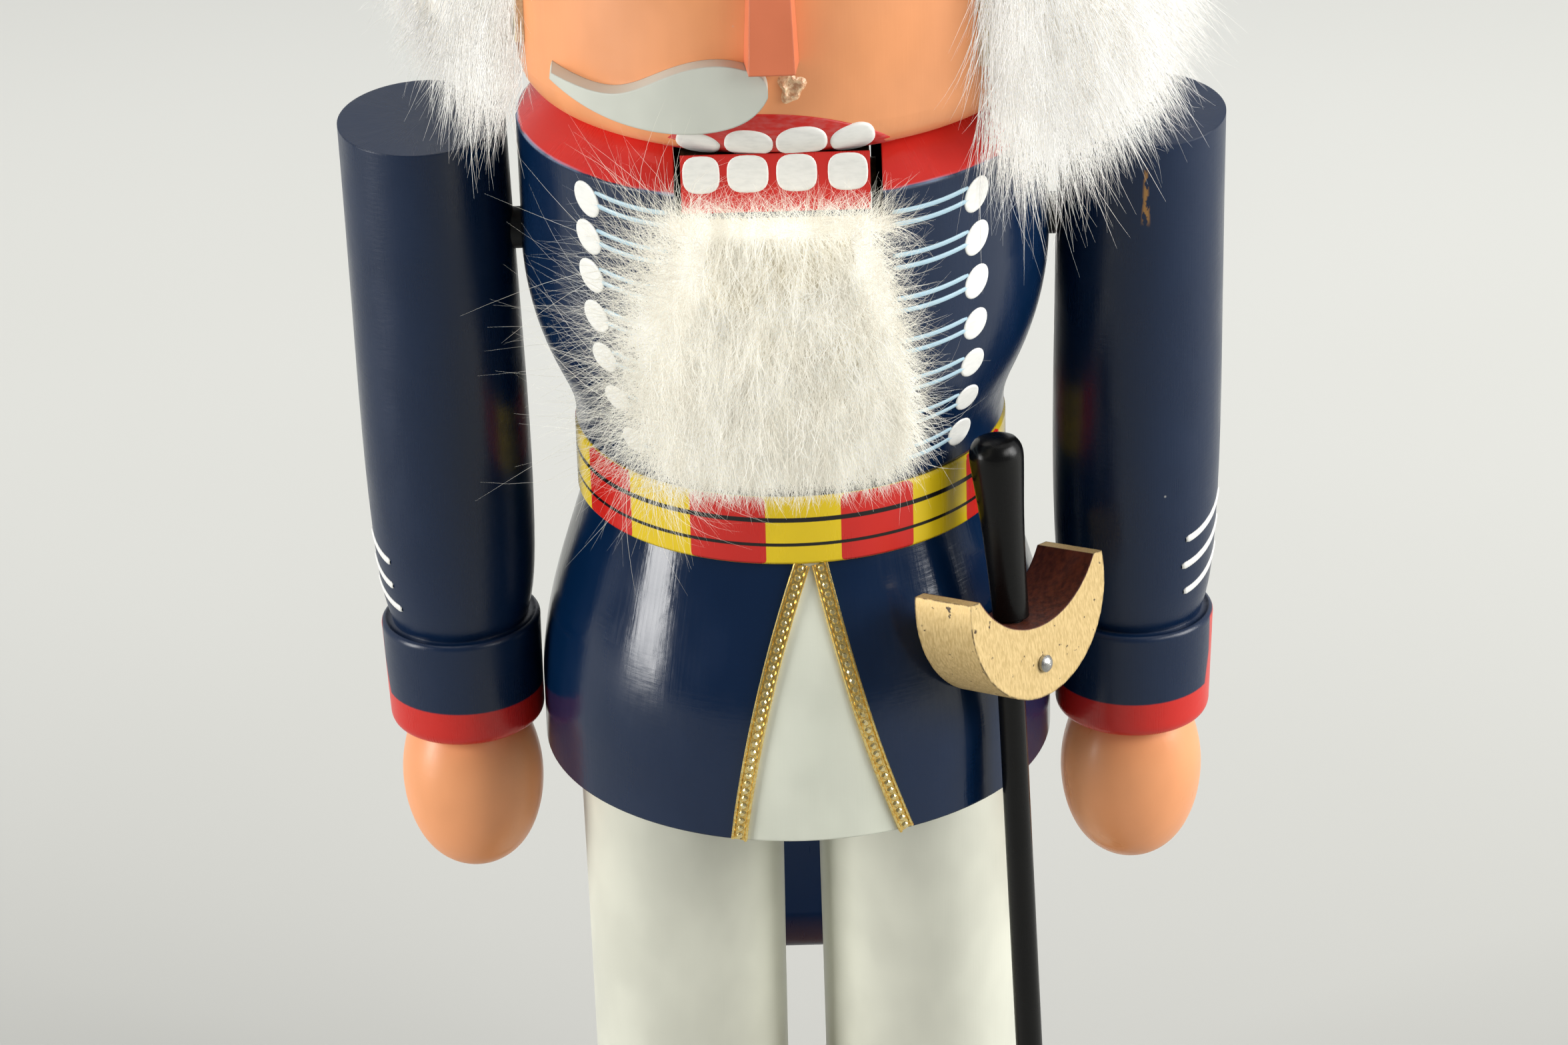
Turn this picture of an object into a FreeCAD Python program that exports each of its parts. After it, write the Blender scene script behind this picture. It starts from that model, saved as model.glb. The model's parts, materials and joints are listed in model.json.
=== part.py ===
import FreeCAD, Part
import math
import os

# A turned and painted wooden nutcracker figure that stands on a round base.
# Millimetres, +Z up, the figure faces -Y. The origin is the centre of the base's underside.
# "Left" and "right" are the figure's own: its left hand is on the +X side.

V = FreeCAD.Vector
Z_AXIS = V(0, 0, 1)

# ---- driving dimensions ----
BASE_R = 50.0            # round base
BASE_H = 14.0
LEG_X = 17.6             # leg axes, either side of the middle
HEM_Z = 115.0            # lower edge of the coat
HEM_R = 37.5
BELT_Z = 155.6           # the belt ring sits on the coat's waist
BELT_R = 31.1
BELT_H = 10.4
CHEST_R = 37.4           # upper body, over the chest
RIM_Z = 213.2            # sharp shoulder rim of the upper body
CHIN_Z = 218.0           # flat underside of the head, on top of the upper body
NECK_R = 31.8            # where the red shoulder slope meets the head
HEAD_R = 36.8
HEAD_TOP = 276.0
HAT_R = 38.6
HAT_TOP = 342.0
ARM_X = 50.4             # arm axes, at the shoulder dowels
ARM_LEAN = {-1: 1.0, 1: 0.5}    # degrees; each arm leans in towards its cuff (-1 is the right arm)
ARM_DROP = {-1: 0.0, 1: 1.6}    # the left arm was glued on a little lower
SHOULDER_Z = 212.0
SHOULDER_SLANT = 5.5     # degrees; the cut on top of each arm drops towards the front
CUFF_Z = 117.2           # lower edge of the cuffs
HAND_Z = 92.7            # lowest point of the hands
SLOT = (-14.8, 13.1)     # the sawn slot through the upper body, from side to side
SLOT_Z = 170.0           # bottom of the slot
JAW = (-13.9, 11.5)      # the lever board, from side to side, as sawn a little off centre
JAW_FRONT = -35.0        # flat front face of the jaw
JAW_TOP = 218.9
LEVER_BACK = 48.5        # outer face of the tail that hangs behind the coat
LEVER_FOOT = 49.5        # lower end of that tail
PIVOT_Y = 4.0            # the lever turns on a pin through both cheeks of the upper body
PIVOT_Z = 200.0
PIN_R = 2.5
BRAID_W = 2.3            # gold beaded braid
BRAID_T = 0.9
SABRE_TURN = 48.6        # degrees from the front round to the sabre's nail
SABRE_TILT = 9.0         # degrees; the coat's dome tips the guard up
SABRE_Z = 137.2          # height where the guard meets the coat
GUARD_DEPTH = 10.2
GUARD_STANDOFF = 0.6     # the flat back of the guard stands this far off the domed coat
NAIL_R = 0.8
NAIL_HEAD_R = 1.25
BLADE_R = 1.95
GRIP_PEG_R = 1.6

# ---- fits ----
GLUE_GAP = 0.05          # all round a glued dowel
RUN_GAP = 0.06           # all round the lever's pin and the sabre's nail
TOUCH_GAP = 0.02         # under a strip or plate glued on a curved face

DOWEL_R = 4.0            # legs and waist
NECK_DOWEL_R = 3.0
ARM_DOWEL_R = 3.0
HAT_DOWEL_R = 6.0
WAIST_DOWEL_X = 22.0
NECK_DOWEL_X = 23.0
ARM_DOWEL_Z = 195.0


# ---- helpers ----
def run(points):
    """A straight edge through two points, or one smooth curve through more."""
    if len(points) == 2:
        return Part.makeLine(points[0], points[1])
    curve = Part.BSplineCurve()
    curve.interpolate(points)
    return curve.toShape()


def face_of(runs, place):
    """A flat face inside runs of 2-D points; place puts a 2-D point in space. The last point joins the first."""
    spaced = [[place(*point) for point in points] for points in runs]
    edges = [run(points) for points in spaced]
    start = spaced[0][0]
    end = spaced[-1][-1]
    if (end - start).Length > 1e-6:
        edges.append(Part.makeLine(end, start))
    return Part.Face(Part.Wire(edges))


def turned(*runs, angle=360):
    """A solid turned about Z. Each run is a list of (radius, height) points."""
    return face_of(runs, lambda r, z: V(r, 0, z)).revolve(V(0, 0, 0), Z_AXIS, angle)


def sawn(runs, low_x, high_x):
    """A board with a side outline of (y, z) points, from low_x to high_x."""
    return face_of(runs, lambda y, z: V(low_x, y, z)).extrude(V(high_x - low_x, 0, 0))


def front_cut(runs, low_y, high_y):
    """A block with a front outline of (x, z) points, from low_y to high_y."""
    return face_of(runs, lambda x, z: V(x, low_y, z)).extrude(V(0, high_y - low_y, 0))


def post(radius, x, y, low_z, high_z):
    """An upright cylinder."""
    return Part.makeCylinder(radius, high_z - low_z, V(x, y, low_z))


def rail(radius, low_x, high_x, y, z):
    """A cylinder along X."""
    return Part.makeCylinder(radius, high_x - low_x, V(low_x, y, z), V(1, 0, 0))


def both_sides(make, x):
    """The same piece at -x and +x, as one group of solids."""
    return Part.makeCompound([make(-x), make(x)])


def moved(shape, x, y, z):
    """A copy of a shape, shifted."""
    copy = shape.copy()
    copy.translate(V(x, y, z))
    return copy


def save(shape, node):
    """Writes one node's STEP file."""
    shape.exportStep("parts/" + node + ".step")


# ---- base, legs and boots ----
LOWER_DOWEL = (5.0, 25.0)      # low and high end of the dowels between base and boots
UPPER_DOWEL = (104.0, 126.0)   # and of those between legs and coat
END_GAP = 0.5                  # beyond each end of a dowel


def leg_holes(ends):
    low, high = ends
    return both_sides(
        lambda x: post(DOWEL_R + GLUE_GAP, x, 0, low - END_GAP, high + END_GAP), LEG_X)


def base():
    disc = turned(
        [(0, 0), (BASE_R, 0)],
        [(BASE_R, 0), (BASE_R, 9.5)],
        [(BASE_R, 9.5), (BASE_R - 1.3, 12.7), (BASE_R - 4.5, BASE_H)],
        [(BASE_R - 4.5, BASE_H), (0, BASE_H)])
    return disc.cut(leg_holes(LOWER_DOWEL))


def leg(x):
    """Trouser leg and boot shaft, turned in one piece."""
    turning = turned(
        [(0, BASE_H), (16.4, BASE_H)],
        [(16.4, BASE_H), (16.4, 17.0)],
        [(16.4, 17.0), (15.2, 17.6)],
        [(15.2, 17.6), (14.7, 25.0), (15.0, 38.0), (15.9, 49.5)],
        [(15.9, 49.5), (16.4, 50.0)],
        [(16.4, 50.0), (16.4, 53.0)],
        [(16.4, 53.0), (14.65, 53.6)],
        [(14.65, 53.6), (14.8, 80.0), (15.15, HEM_Z)],
        [(15.15, HEM_Z), (0, HEM_Z)])
    placed = moved(turning, x, 0, 0)
    return placed.cut(leg_holes(LOWER_DOWEL)).cut(leg_holes(UPPER_DOWEL))


def toe_cap(x):
    """The front of a boot: the upper half of an egg, hollowed to fit round the boot shaft."""
    half_width, half_length, height = 13.4, 21.0, 13.0
    stretch = FreeCAD.Matrix()
    stretch.scale(half_width, half_length, height)
    egg = Part.makeSphere(1.0).transformGeometry(stretch)
    cap = moved(egg, x, -14.0, BASE_H)
    under = Part.makeBox(80, 80, 40, V(x - 40, -54, BASE_H - 40))
    return cap.cut(under).cut(post(16.4 + GLUE_GAP, x, 0, BASE_H - 1, 60))


def leg_dowels():
    ends = [LOWER_DOWEL, UPPER_DOWEL]
    return Part.makeCompound(
        [post(DOWEL_R, x, 0, low, high) for low, high in ends for x in (-LEG_X, LEG_X)])


# ---- coat, belt and upper body ----
def coat_turning(grow=0.0):
    """The lower coat: a bell with an upright hem. grow makes it larger all round."""
    bell = [(37.5, 122.5), (36.9, 131.3), (35.0, 140.0), (32.3, 148.7), (30.2, BELT_Z)]
    outer = [(r + grow, z) for r, z in bell]
    return turned(
        [(0, HEM_Z), (HEM_R + grow, HEM_Z)],
        [(HEM_R + grow, HEM_Z), outer[0]],
        outer,
        [outer[-1], (0, BELT_Z)])


WAIST_DOWEL = (144.0, 177.5)
NECK_DOWEL = (206.5, 229.5)


def waist_holes():
    low, high = WAIST_DOWEL
    return both_sides(
        lambda x: post(DOWEL_R + GLUE_GAP, x, 0, low - END_GAP, high + END_GAP), WAIST_DOWEL_X)


def coat_skirt():
    nail_hole = sabre_place(Part.makeCylinder(NAIL_R + TOUCH_GAP, 21.0, V(0, 0, -21.0)))
    return coat_turning().cut(leg_holes(UPPER_DOWEL)).cut(waist_holes()).cut(nail_hole)


def belt_ring():
    edge = 0.4
    top = BELT_Z + BELT_H
    ring = turned(
        [(0, BELT_Z), (BELT_R - edge, BELT_Z)],
        [(BELT_R - edge, BELT_Z), (BELT_R, BELT_Z + edge)],
        [(BELT_R, BELT_Z + edge), (BELT_R, top - edge)],
        [(BELT_R, top - edge), (BELT_R - edge, top)],
        [(BELT_R - edge, top), (0, top)])
    return ring.cut(waist_holes())


def waist_dowels():
    return both_sides(lambda x: post(DOWEL_R, x, 0, *WAIST_DOWEL), WAIST_DOWEL_X)


def neck_holes():
    low, high = NECK_DOWEL
    return both_sides(
        lambda x: post(NECK_DOWEL_R + GLUE_GAP, x, 0, low - END_GAP, high + END_GAP), NECK_DOWEL_X)


def neck_dowels():
    return both_sides(lambda x: post(NECK_DOWEL_R, x, 0, *NECK_DOWEL), NECK_DOWEL_X)


def arm_dowel(side, grow=0.0, longer=0.0):
    """One shoulder dowel; side is -1 or +1."""
    low, high = 28.5 - longer, 45.5 + longer
    ends = sorted((side * low, side * high))
    return rail(ARM_DOWEL_R + grow, ends[0], ends[1], 0, ARM_DOWEL_Z)


def arm_dowels():
    return Part.makeCompound([arm_dowel(-1), arm_dowel(1)])


def upper_body():
    """The chest, slotted from front to back so that two cheeks hold the lever between them."""
    low = BELT_Z + BELT_H
    chest = turned(
        [(0, low), (30.6, low)],
        [(30.6, low), (30.9, low + 0.6)],
        [(30.9, low + 0.6), (31.2, 170.5), (33.7, 176.8), (36.0, 183.4), (37.3, 191.0), (CHEST_R, 197.0)],
        [(CHEST_R, 197.0), (CHEST_R, RIM_Z - 0.5)],
        [(CHEST_R, RIM_Z - 0.5), (CHEST_R - 0.5, RIM_Z)],
        [(CHEST_R - 0.5, RIM_Z), (NECK_R, CHIN_Z)],
        [(NECK_R, CHIN_Z), (0, CHIN_Z)])
    slot = Part.makeBox(SLOT[1] - SLOT[0], 90, 60, V(SLOT[0], -45, SLOT_Z))
    pin_hole = rail(PIN_R + TOUCH_GAP, -40, 31.5, PIVOT_Y, PIVOT_Z)
    body = chest.cut(slot).cut(pin_hole).cut(waist_holes()).cut(neck_holes())
    return body.cut(arm_dowel(-1, GLUE_GAP, END_GAP)).cut(arm_dowel(1, GLUE_GAP, END_GAP))


# ---- the jaw lever ----
def jaw_lever():
    """One board: the jaw in front, a bar through the body, and the tail that is pulled behind."""
    front = JAW_FRONT
    board = sawn([
        [(front, 192.5), (front, JAW_TOP)],
        [(front, JAW_TOP), (-32.0, CHIN_Z - 0.5)],
        [(-32.0, CHIN_Z - 0.5), (-14.0, CHIN_Z - 0.5)],
        [(-14.0, CHIN_Z - 0.5), (-9.0, 209.0)],
        [(-9.0, 209.0), (-2.0, 210.5), (6.0, 209.5)],
        [(6.0, 209.5), (34.0, 197.5)],
        [(34.0, 197.5), (43.0, 192.5), (LEVER_BACK, 179.0)],
        [(LEVER_BACK, 179.0), (LEVER_BACK, 58.0)],
        [(LEVER_BACK, 58.0), (47.2, 53.2), (44.0, LEVER_FOOT), (41.0, 53.2), (39.5, 58.0)],
        [(39.5, 58.0), (39.5, 170.0)],
        [(39.5, 170.0), (37.6, 175.6), (32.0, 179.0)],
        [(32.0, 179.0), (5.0, 189.0)],
        [(5.0, 189.0), (-2.0, 190.4), (-9.0, 191.0)],
        [(-9.0, 191.0), (front, 192.5)],
    ], JAW[0], JAW[1])
    return board.cut(rail(PIN_R + RUN_GAP, -40, 40, PIVOT_Y, PIVOT_Z))


def lever_pin():
    return rail(PIN_R, -36.4, 31.0, PIVOT_Y, PIVOT_Z)


def beard_leather():
    """The strip of skin that the beard grows from, glued on the jaw."""
    return Part.makeBox(24.6, 0.9, 12.6, V(JAW[0] + 0.4, JAW_FRONT - 0.92, 197.0))


def beard_fur():
    """The beard as one soft block, in front of the chest, with a root that reaches the leather."""
    side = sawn([
        [(-37.9, 164.5), (-37.9, 200.0)],
        [(-37.9, 200.0), (-36.1, 200.5)],
        [(-36.1, 200.5), (-36.1, 208.4)],
        [(-36.1, 208.4), (-38.5, 208.6)],
        [(-38.5, 208.6), (-44.5, 202.0), (-47.0, 186.0), (-44.0, 168.5), (-40.5, 164.5)],
    ], -25, 25)
    front = front_cut([
        [(-13.0, 208.8), (-13.8, 200.5)],
        [(-13.8, 200.5), (-18.5, 193.0), (-20.0, 180.0), (-15.5, 168.0), (-8.0, 164.4)],
        [(-8.0, 164.4), (8.0, 164.4)],
        [(8.0, 164.4), (16.5, 168.0), (19.5, 180.0), (17.5, 193.0), (12.6, 200.5)],
        [(12.6, 200.5), (11.0, 208.8)],
    ], -60, -30)
    return side.common(front)


# ---- head, face and hair ----
def head_turning(grow=0.0):
    """The head: a cylinder with a rounded chin edge and a rounded crown edge."""
    wide = HEAD_R + grow
    return turned(
        [(0, CHIN_Z), (NECK_R + grow, CHIN_Z)],
        [(NECK_R + grow, CHIN_Z), (wide - 1.5, CHIN_Z + 1.5), (wide, CHIN_Z + 5.0)],
        [(wide, CHIN_Z + 5.0), (wide, HEAD_TOP - 5.0)],
        [(wide, HEAD_TOP - 5.0), (wide - 1.0, HEAD_TOP - 1.6), (wide - 3.6, HEAD_TOP)],
        [(wide - 3.6, HEAD_TOP), (0, HEAD_TOP)])


def hat_dowel():
    return post(HAT_DOWEL_R, 0, 0, HEAD_TOP - 11, HEAD_TOP + 11)


def hat_hole():
    return post(HAT_DOWEL_R + GLUE_GAP, 0, 0, HEAD_TOP - 11.5, HEAD_TOP + 11.5)


def head():
    return head_turning().cut(neck_holes()).cut(hat_hole())


def nose():
    """A sawn wedge with a flat-cut underside, glued on the face; it narrows towards its top and its front."""
    middle = -1.3

    def outline(z, front, half_front, half_back):
        corners = [(-half_back, -33), (-half_front, front), (half_front, front), (half_back, -33)]
        points = [V(middle + x, y, z) for x, y in corners]
        return Part.makePolygon(points + points[:1])

    wedge = Part.makeLoft([outline(232.4, -42.0, 3.05, 4.1), outline(254.0, -38.2, 2.3, 3.2)], True, True)
    return wedge.cut(head_turning(TOUCH_GAP))


def moustache():
    """The surviving half of the moustache, on the figure's right: a curled plate bent round the face."""
    thickness = 2.8
    plate = head_turning(thickness).cut(head_turning(TOUCH_GAP))
    outline = front_cut([
        [(-31.3, 226.3), (-27.7, 224.6), (-19.0, 222.7), (-10.0, 223.2), (-4.2, 225.5), (-1.9, 228.4)],
        [(-1.9, 228.4), (-2.6, 231.2), (-5.0, 232.3)],
        [(-5.0, 232.3), (-9.5, 232.6), (-16.0, 230.2), (-22.5, 227.0), (-28.0, 226.9), (-31.0, 227.3)],
    ], -45, -15)
    return plate.common(outline)


HAIR_LEFT_EDGE = 46.0    # degrees from the front of the face round to each end of the hair
HAIR_RIGHT_EDGE = 72.0
HAIR_SWEEP = 360 - HAIR_LEFT_EDGE - HAIR_RIGHT_EDGE


def round_the_back(ring_part):
    """Turns a part of a ring, made from +X anticlockwise, so that it starts at the hair's left edge."""
    ring_part.rotate(V(0, 0, 0), Z_AXIS, HAIR_LEFT_EDGE - 90)
    return ring_part


def hair_leather():
    inner, outer = HEAD_R + TOUCH_GAP, HEAD_R + 1.2
    low, high = 227.0, 266.0
    strip = turned(
        [(inner, low), (outer, low)],
        [(outer, low), (outer, high)],
        [(outer, high), (inner, high)],
        angle=HAIR_SWEEP)
    return round_the_back(strip)


def hair_fur():
    """The hair as one soft ring, open at the face, standing clear over the shoulders."""
    inner = HEAD_R + 1.3
    ring = turned(
        [(inner, 217.0), (46.0, 214.5)],
        [(46.0, 214.5), (56.0, 221.0), (56.5, 238.0), (49.0, 258.0), (inner, 270.0)],
        [(inner, 270.0), (inner, 217.0)],
        angle=HAIR_SWEEP)
    return round_the_back(ring)


# ---- hat ----
HAT_BAND_TOP = 289.0


def hat_turning(grow=0.0):
    """The hat: an upright band, then sides that flare towards the crown."""
    wide = HAT_R + grow
    return turned(
        [(0, HEAD_TOP), (wide, HEAD_TOP)],
        [(wide, HEAD_TOP), (wide, HAT_BAND_TOP)],
        [(wide, HAT_BAND_TOP), (wide - 1.2, HAT_BAND_TOP + 0.8)],
        [(wide - 1.2, HAT_BAND_TOP + 0.8), (38.3, 310.0), (41.5, 336.0)],
        [(41.5, 336.0), (42.0, 338.6), (40.5, 341.0), (37.0, HAT_TOP)],
        [(37.0, HAT_TOP), (0, HAT_TOP)])


def hat_body():
    return hat_turning().cut(hat_hole()).cut(post(2.0 + GLUE_GAP, 0, 0, HAT_TOP - 6.5, HAT_TOP + 1))


def hat_peak():
    """The peak: a crescent plate that slopes down over the eyes, glued under the front of the band."""
    plate = post(40.0, 0, -13.0, 0, 2.6).cut(Part.makeBox(120, 80, 20, V(-60, -18, -5)))
    plate.rotate(V(0, -30, 0), V(1, 0, 0), 12)
    peak = moved(plate, 0, 0, HEAD_TOP + 1.0)
    return peak.cut(hat_turning(TOUCH_GAP)).cut(post(HAT_R, 0, 0, 240, HEAD_TOP + 0.1))


def hat_braid():
    inner, outer = HAT_R + TOUCH_GAP, HAT_R + BRAID_T
    low = 284.0
    return turned(
        [(inner, low), (outer, low)],
        [(outer, low), (outer, low + BRAID_W)],
        [(outer, low + BRAID_W), (inner, low + BRAID_W)])


def hat_knob():
    return turned(
        [(0, HAT_TOP - 6), (2.0, HAT_TOP - 6)],
        [(2.0, HAT_TOP - 6), (2.0, HAT_TOP)],
        [(2.0, HAT_TOP), (4.4, HAT_TOP)],
        [(4.4, HAT_TOP), (4.4, HAT_TOP + 1.2)],
        [(4.4, HAT_TOP + 1.2), (3.0, HAT_TOP + 2.0)],
        [(3.0, HAT_TOP + 2.0), (5.4, HAT_TOP + 4.4), (5.6, HAT_TOP + 7.2), (3.6, HAT_TOP + 10.2), (0, HAT_TOP + 11.2)])


# ---- arms and hands ----
PEG = (CUFF_Z, 126.0)      # low and high end of the hand's peg


def hang(shape, side):
    """Puts an arm's piece, made on the Z axis, in its place: leaning about the shoulder dowel, then dropped."""
    hung = moved(shape, side * ARM_X, 0, 0)
    hung.rotate(V(side * ARM_X, 0, ARM_DOWEL_Z), V(0, 1, 0), side * ARM_LEAN[side])
    return moved(hung, 0, 0, -ARM_DROP[side])


def arm(side):
    """Sleeve and cuff, turned in one piece, with a slanted saw cut on top; side is -1 or +1."""
    turning = turned(
        [(0, CUFF_Z), (9.4, CUFF_Z)],
        [(9.4, CUFF_Z), (10.9, CUFF_Z + 0.6), (11.4, CUFF_Z + 2.2)],
        [(11.4, CUFF_Z + 2.2), (11.7, CUFF_Z + 15.8)],
        [(11.7, CUFF_Z + 15.8), (11.45, CUFF_Z + 16.8), (11.1, CUFF_Z + 17.0)],
        [(11.1, CUFF_Z + 17.0), (10.4, CUFF_Z + 16.7), (9.95, CUFF_Z + 16.9)],
        [(9.95, CUFF_Z + 16.9), (10.95, 138.3), (11.6, 144.5), (11.9, 151.0), (12.1, 160.0), (12.05, 180.0),
         (11.9, 200.0), (11.9, 222.0)],
        [(11.9, 222.0), (0, 222.0)])
    above = Part.makeBox(60, 60, 40, V(-30, -30, 0))
    above.rotate(V(0, 0, 0), V(1, 0, 0), SHOULDER_SLANT)
    low, high = PEG
    cut = turning.cut(moved(above, 0, 0, SHOULDER_Z)).cut(post(DOWEL_R + GLUE_GAP, 0, 0, low, high + END_GAP))
    return hang(cut, side).cut(arm_dowel(side, GLUE_GAP, END_GAP))


def hand(side):
    """An egg-shaped fist on a peg; it is widest just under the cuff."""
    low = HAND_Z
    fist = turned(
        [(0, low), (3.4, low + 0.6), (6.9, low + 3.2), (9.3, low + 7.6), (10.4, low + 13.0), (10.45, low + 16.0),
         (9.6, low + 21.0), (8.3, CUFF_Z)],
        [(8.3, CUFF_Z), (0, CUFF_Z)])
    return hang(fist.fuse(post(DOWEL_R, 0, 0, *PEG)), side)


# ---- gold braid on the coat ----
def coat_braid(top_x, hem_x, bow):
    """A strip of braid on the coat's dome, from the waist down to the hem; bow is how far its middle strays."""
    layer = coat_turning(BRAID_T).cut(coat_turning(TOUCH_GAP))
    high, low = BELT_Z - 0.3, HEM_Z + 0.1
    half = BRAID_W / 2 * math.hypot(1, (hem_x - top_x + 4 * bow) / (high - low))
    left_edge, right_edge = [], []
    for step in range(5):
        down = step / 4
        x = top_x + (hem_x - top_x) * down + bow * 4 * down * (1 - down)
        z = high + (low - high) * down
        left_edge.append((x - half, z))
        right_edge.append((x + half, z))
    strip = front_cut([
        [left_edge[0], right_edge[0]],
        right_edge,
        [right_edge[-1], left_edge[-1]],
        left_edge[::-1],
    ], -60, -10)
    return layer.common(strip)


# ---- sabre: guard, grip, blade and nail ----
GRIP_FOOT = V(30.5, -26.4, 143.5)
GRIP_TOP = V(28.4, -23.6, 171.2)
BLADE_TOP = V(30.2, -28.4, 136.4)      # stops below the nail's shank
BLADE_TIP = V(34.2, -28.4, 36.0)


def coat_radius(height):
    """How far the coat's surface is from the axis at a height."""
    ray = Part.makeLine(V(0, 0, height), V(80, 0, height))
    return coat_turning().common(ray).BoundBox.XMax


def sabre_frame():
    """Where the nail meets the guard's front face, and the guard's across, up and outward directions."""
    turn, tilt = math.radians(SABRE_TURN), math.radians(SABRE_TILT)
    out = V(math.sin(turn) * math.cos(tilt), -math.cos(turn) * math.cos(tilt), math.sin(tilt))
    across = V(math.cos(turn), math.sin(turn), 0)
    up = out.cross(across)
    radius = coat_radius(SABRE_Z)
    contact = V(radius * math.sin(turn), -radius * math.cos(turn), SABRE_Z)
    return contact + out * (GUARD_DEPTH + GUARD_STANDOFF), across, up, out


def sabre_place(shape, lean=0.0):
    """Puts a shape drawn in the guard's own frame (across, up, out) on the coat."""
    origin, across, up, out = sabre_frame()
    placed = shape.copy()
    placed.rotate(V(0, 0, 0), Z_AXIS, -lean)
    placed.transformShape(FreeCAD.Placement(origin, FreeCAD.Rotation(across, up, out, "ZXY")).toMatrix())
    return placed


def round_bar(start, end, radius):
    """A plain cylinder from one point to another."""
    line = end - start
    return Part.makeCylinder(radius, line.Length, start, line)


def sabre_guard():
    """A crescent sawn from a ring: it opens upwards, and the nail goes through its thick middle."""
    outer_r, inner_r, rise, inner_rise, tip = 14.9, 15.0, 10.0, 20.6, 12.6
    block = Part.makeCylinder(outer_r, GUARD_DEPTH, V(0, rise, -GUARD_DEPTH))
    hollow = Part.makeCylinder(inner_r, 40, V(0, inner_rise, -20))
    above = Part.makeBox(60, 40, 40, V(-30, tip, -20))
    nail_hole = Part.makeCylinder(NAIL_R + RUN_GAP, 40, V(0, 0, -20))
    crescent = sabre_place(block.cut(hollow).cut(above).cut(nail_hole), 5.0)
    grip_line = (GRIP_FOOT - GRIP_TOP).normalize()
    grip_hole = round_bar(GRIP_FOOT - grip_line * 10, GRIP_FOOT + grip_line * 4.6, GRIP_PEG_R + GLUE_GAP)
    blade_line = (BLADE_TIP - BLADE_TOP).normalize()
    blade_hole = round_bar(BLADE_TOP - blade_line * 0.3, BLADE_TIP, BLADE_R + GLUE_GAP)
    return crescent.cut(grip_hole).cut(blade_hole)


def sabre_grip():
    """A turned taper with a rounded pommel end, on a peg that is glued in the guard's hollow."""
    line = GRIP_TOP - GRIP_FOOT
    long = line.Length
    turning = turned(
        [(0, -4.4), (GRIP_PEG_R, -4.4)],
        [(GRIP_PEG_R, -4.4), (GRIP_PEG_R, 0.8)],
        [(GRIP_PEG_R, 0.8), (2.6, 0.8)],
        [(2.6, 0.8), (2.8, 9.0), (3.3, long - 10.0), (3.8, long - 4.0), (3.7, long - 1.8), (2.9, long - 0.5)],
        [(2.9, long - 0.5), (1.8, long - 0.05), (0, long)])
    turning.Placement = FreeCAD.Placement(GRIP_FOOT, FreeCAD.Rotation(Z_AXIS, line))
    return turning


def sabre_blade():
    """A thin round rod for the scabbard, with a rounded tip."""
    rod = round_bar(BLADE_TOP, BLADE_TIP, BLADE_R)
    return rod.fuse(Part.makeSphere(BLADE_R, BLADE_TIP))


def sabre_nail():
    """A small nail with a domed head, driven through the guard into the coat."""
    dome = Part.makeSphere(1.6, V(0, 0, -0.4)).common(Part.makeCylinder(NAIL_HEAD_R, 3, V(0, 0, 0.1)))
    shank = Part.makeCylinder(NAIL_R, 20.3, V(0, 0, -20.2))
    return sabre_place(dome.fuse(shank))


# ---- write every node ----
def main():
    os.makedirs("parts", exist_ok=True)
    save(base(), "base")
    save(leg(-LEG_X), "leg_right")
    save(leg(LEG_X), "leg_left")
    save(toe_cap(-LEG_X), "toe_cap_right")
    save(toe_cap(LEG_X), "toe_cap_left")
    save(leg_dowels(), "leg_dowels")
    save(coat_skirt(), "coat_skirt")
    save(belt_ring(), "belt_ring")
    save(waist_dowels(), "waist_dowels")
    save(upper_body(), "upper_body")
    save(lever_pin(), "lever_pin")
    save(jaw_lever(), "jaw_lever")
    save(beard_leather(), "beard_leather")
    save(beard_fur(), "beard_fur")
    save(head(), "head")
    save(neck_dowels(), "neck_dowels")
    save(nose(), "nose")
    save(moustache(), "moustache_half")
    save(hair_leather(), "hair_leather")
    save(hair_fur(), "hair_fur")
    save(hat_body(), "hat_body")
    save(hat_dowel(), "hat_dowel")
    save(hat_peak(), "hat_peak")
    save(hat_braid(), "hat_braid")
    save(hat_knob(), "hat_knob")
    save(arm(-1), "arm_right")
    save(arm(1), "arm_left")
    save(hand(-1), "hand_right")
    save(hand(1), "hand_left")
    save(arm_dowels(), "arm_dowels")
    save(coat_braid(1.0, -8.9, -1.25), "coat_braid_right")
    save(coat_braid(3.45, 14.8, -0.5), "coat_braid_left")
    save(sabre_guard(), "sabre_guard")
    save(sabre_grip(), "sabre_grip")
    save(sabre_blade(), "sabre_blade")
    save(sabre_nail(), "sabre_nail")


main()
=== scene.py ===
import json
import math

import bpy
import numpy as np
from mathutils import Matrix, Vector
from mathutils.bvhtree import BVHTree


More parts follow.
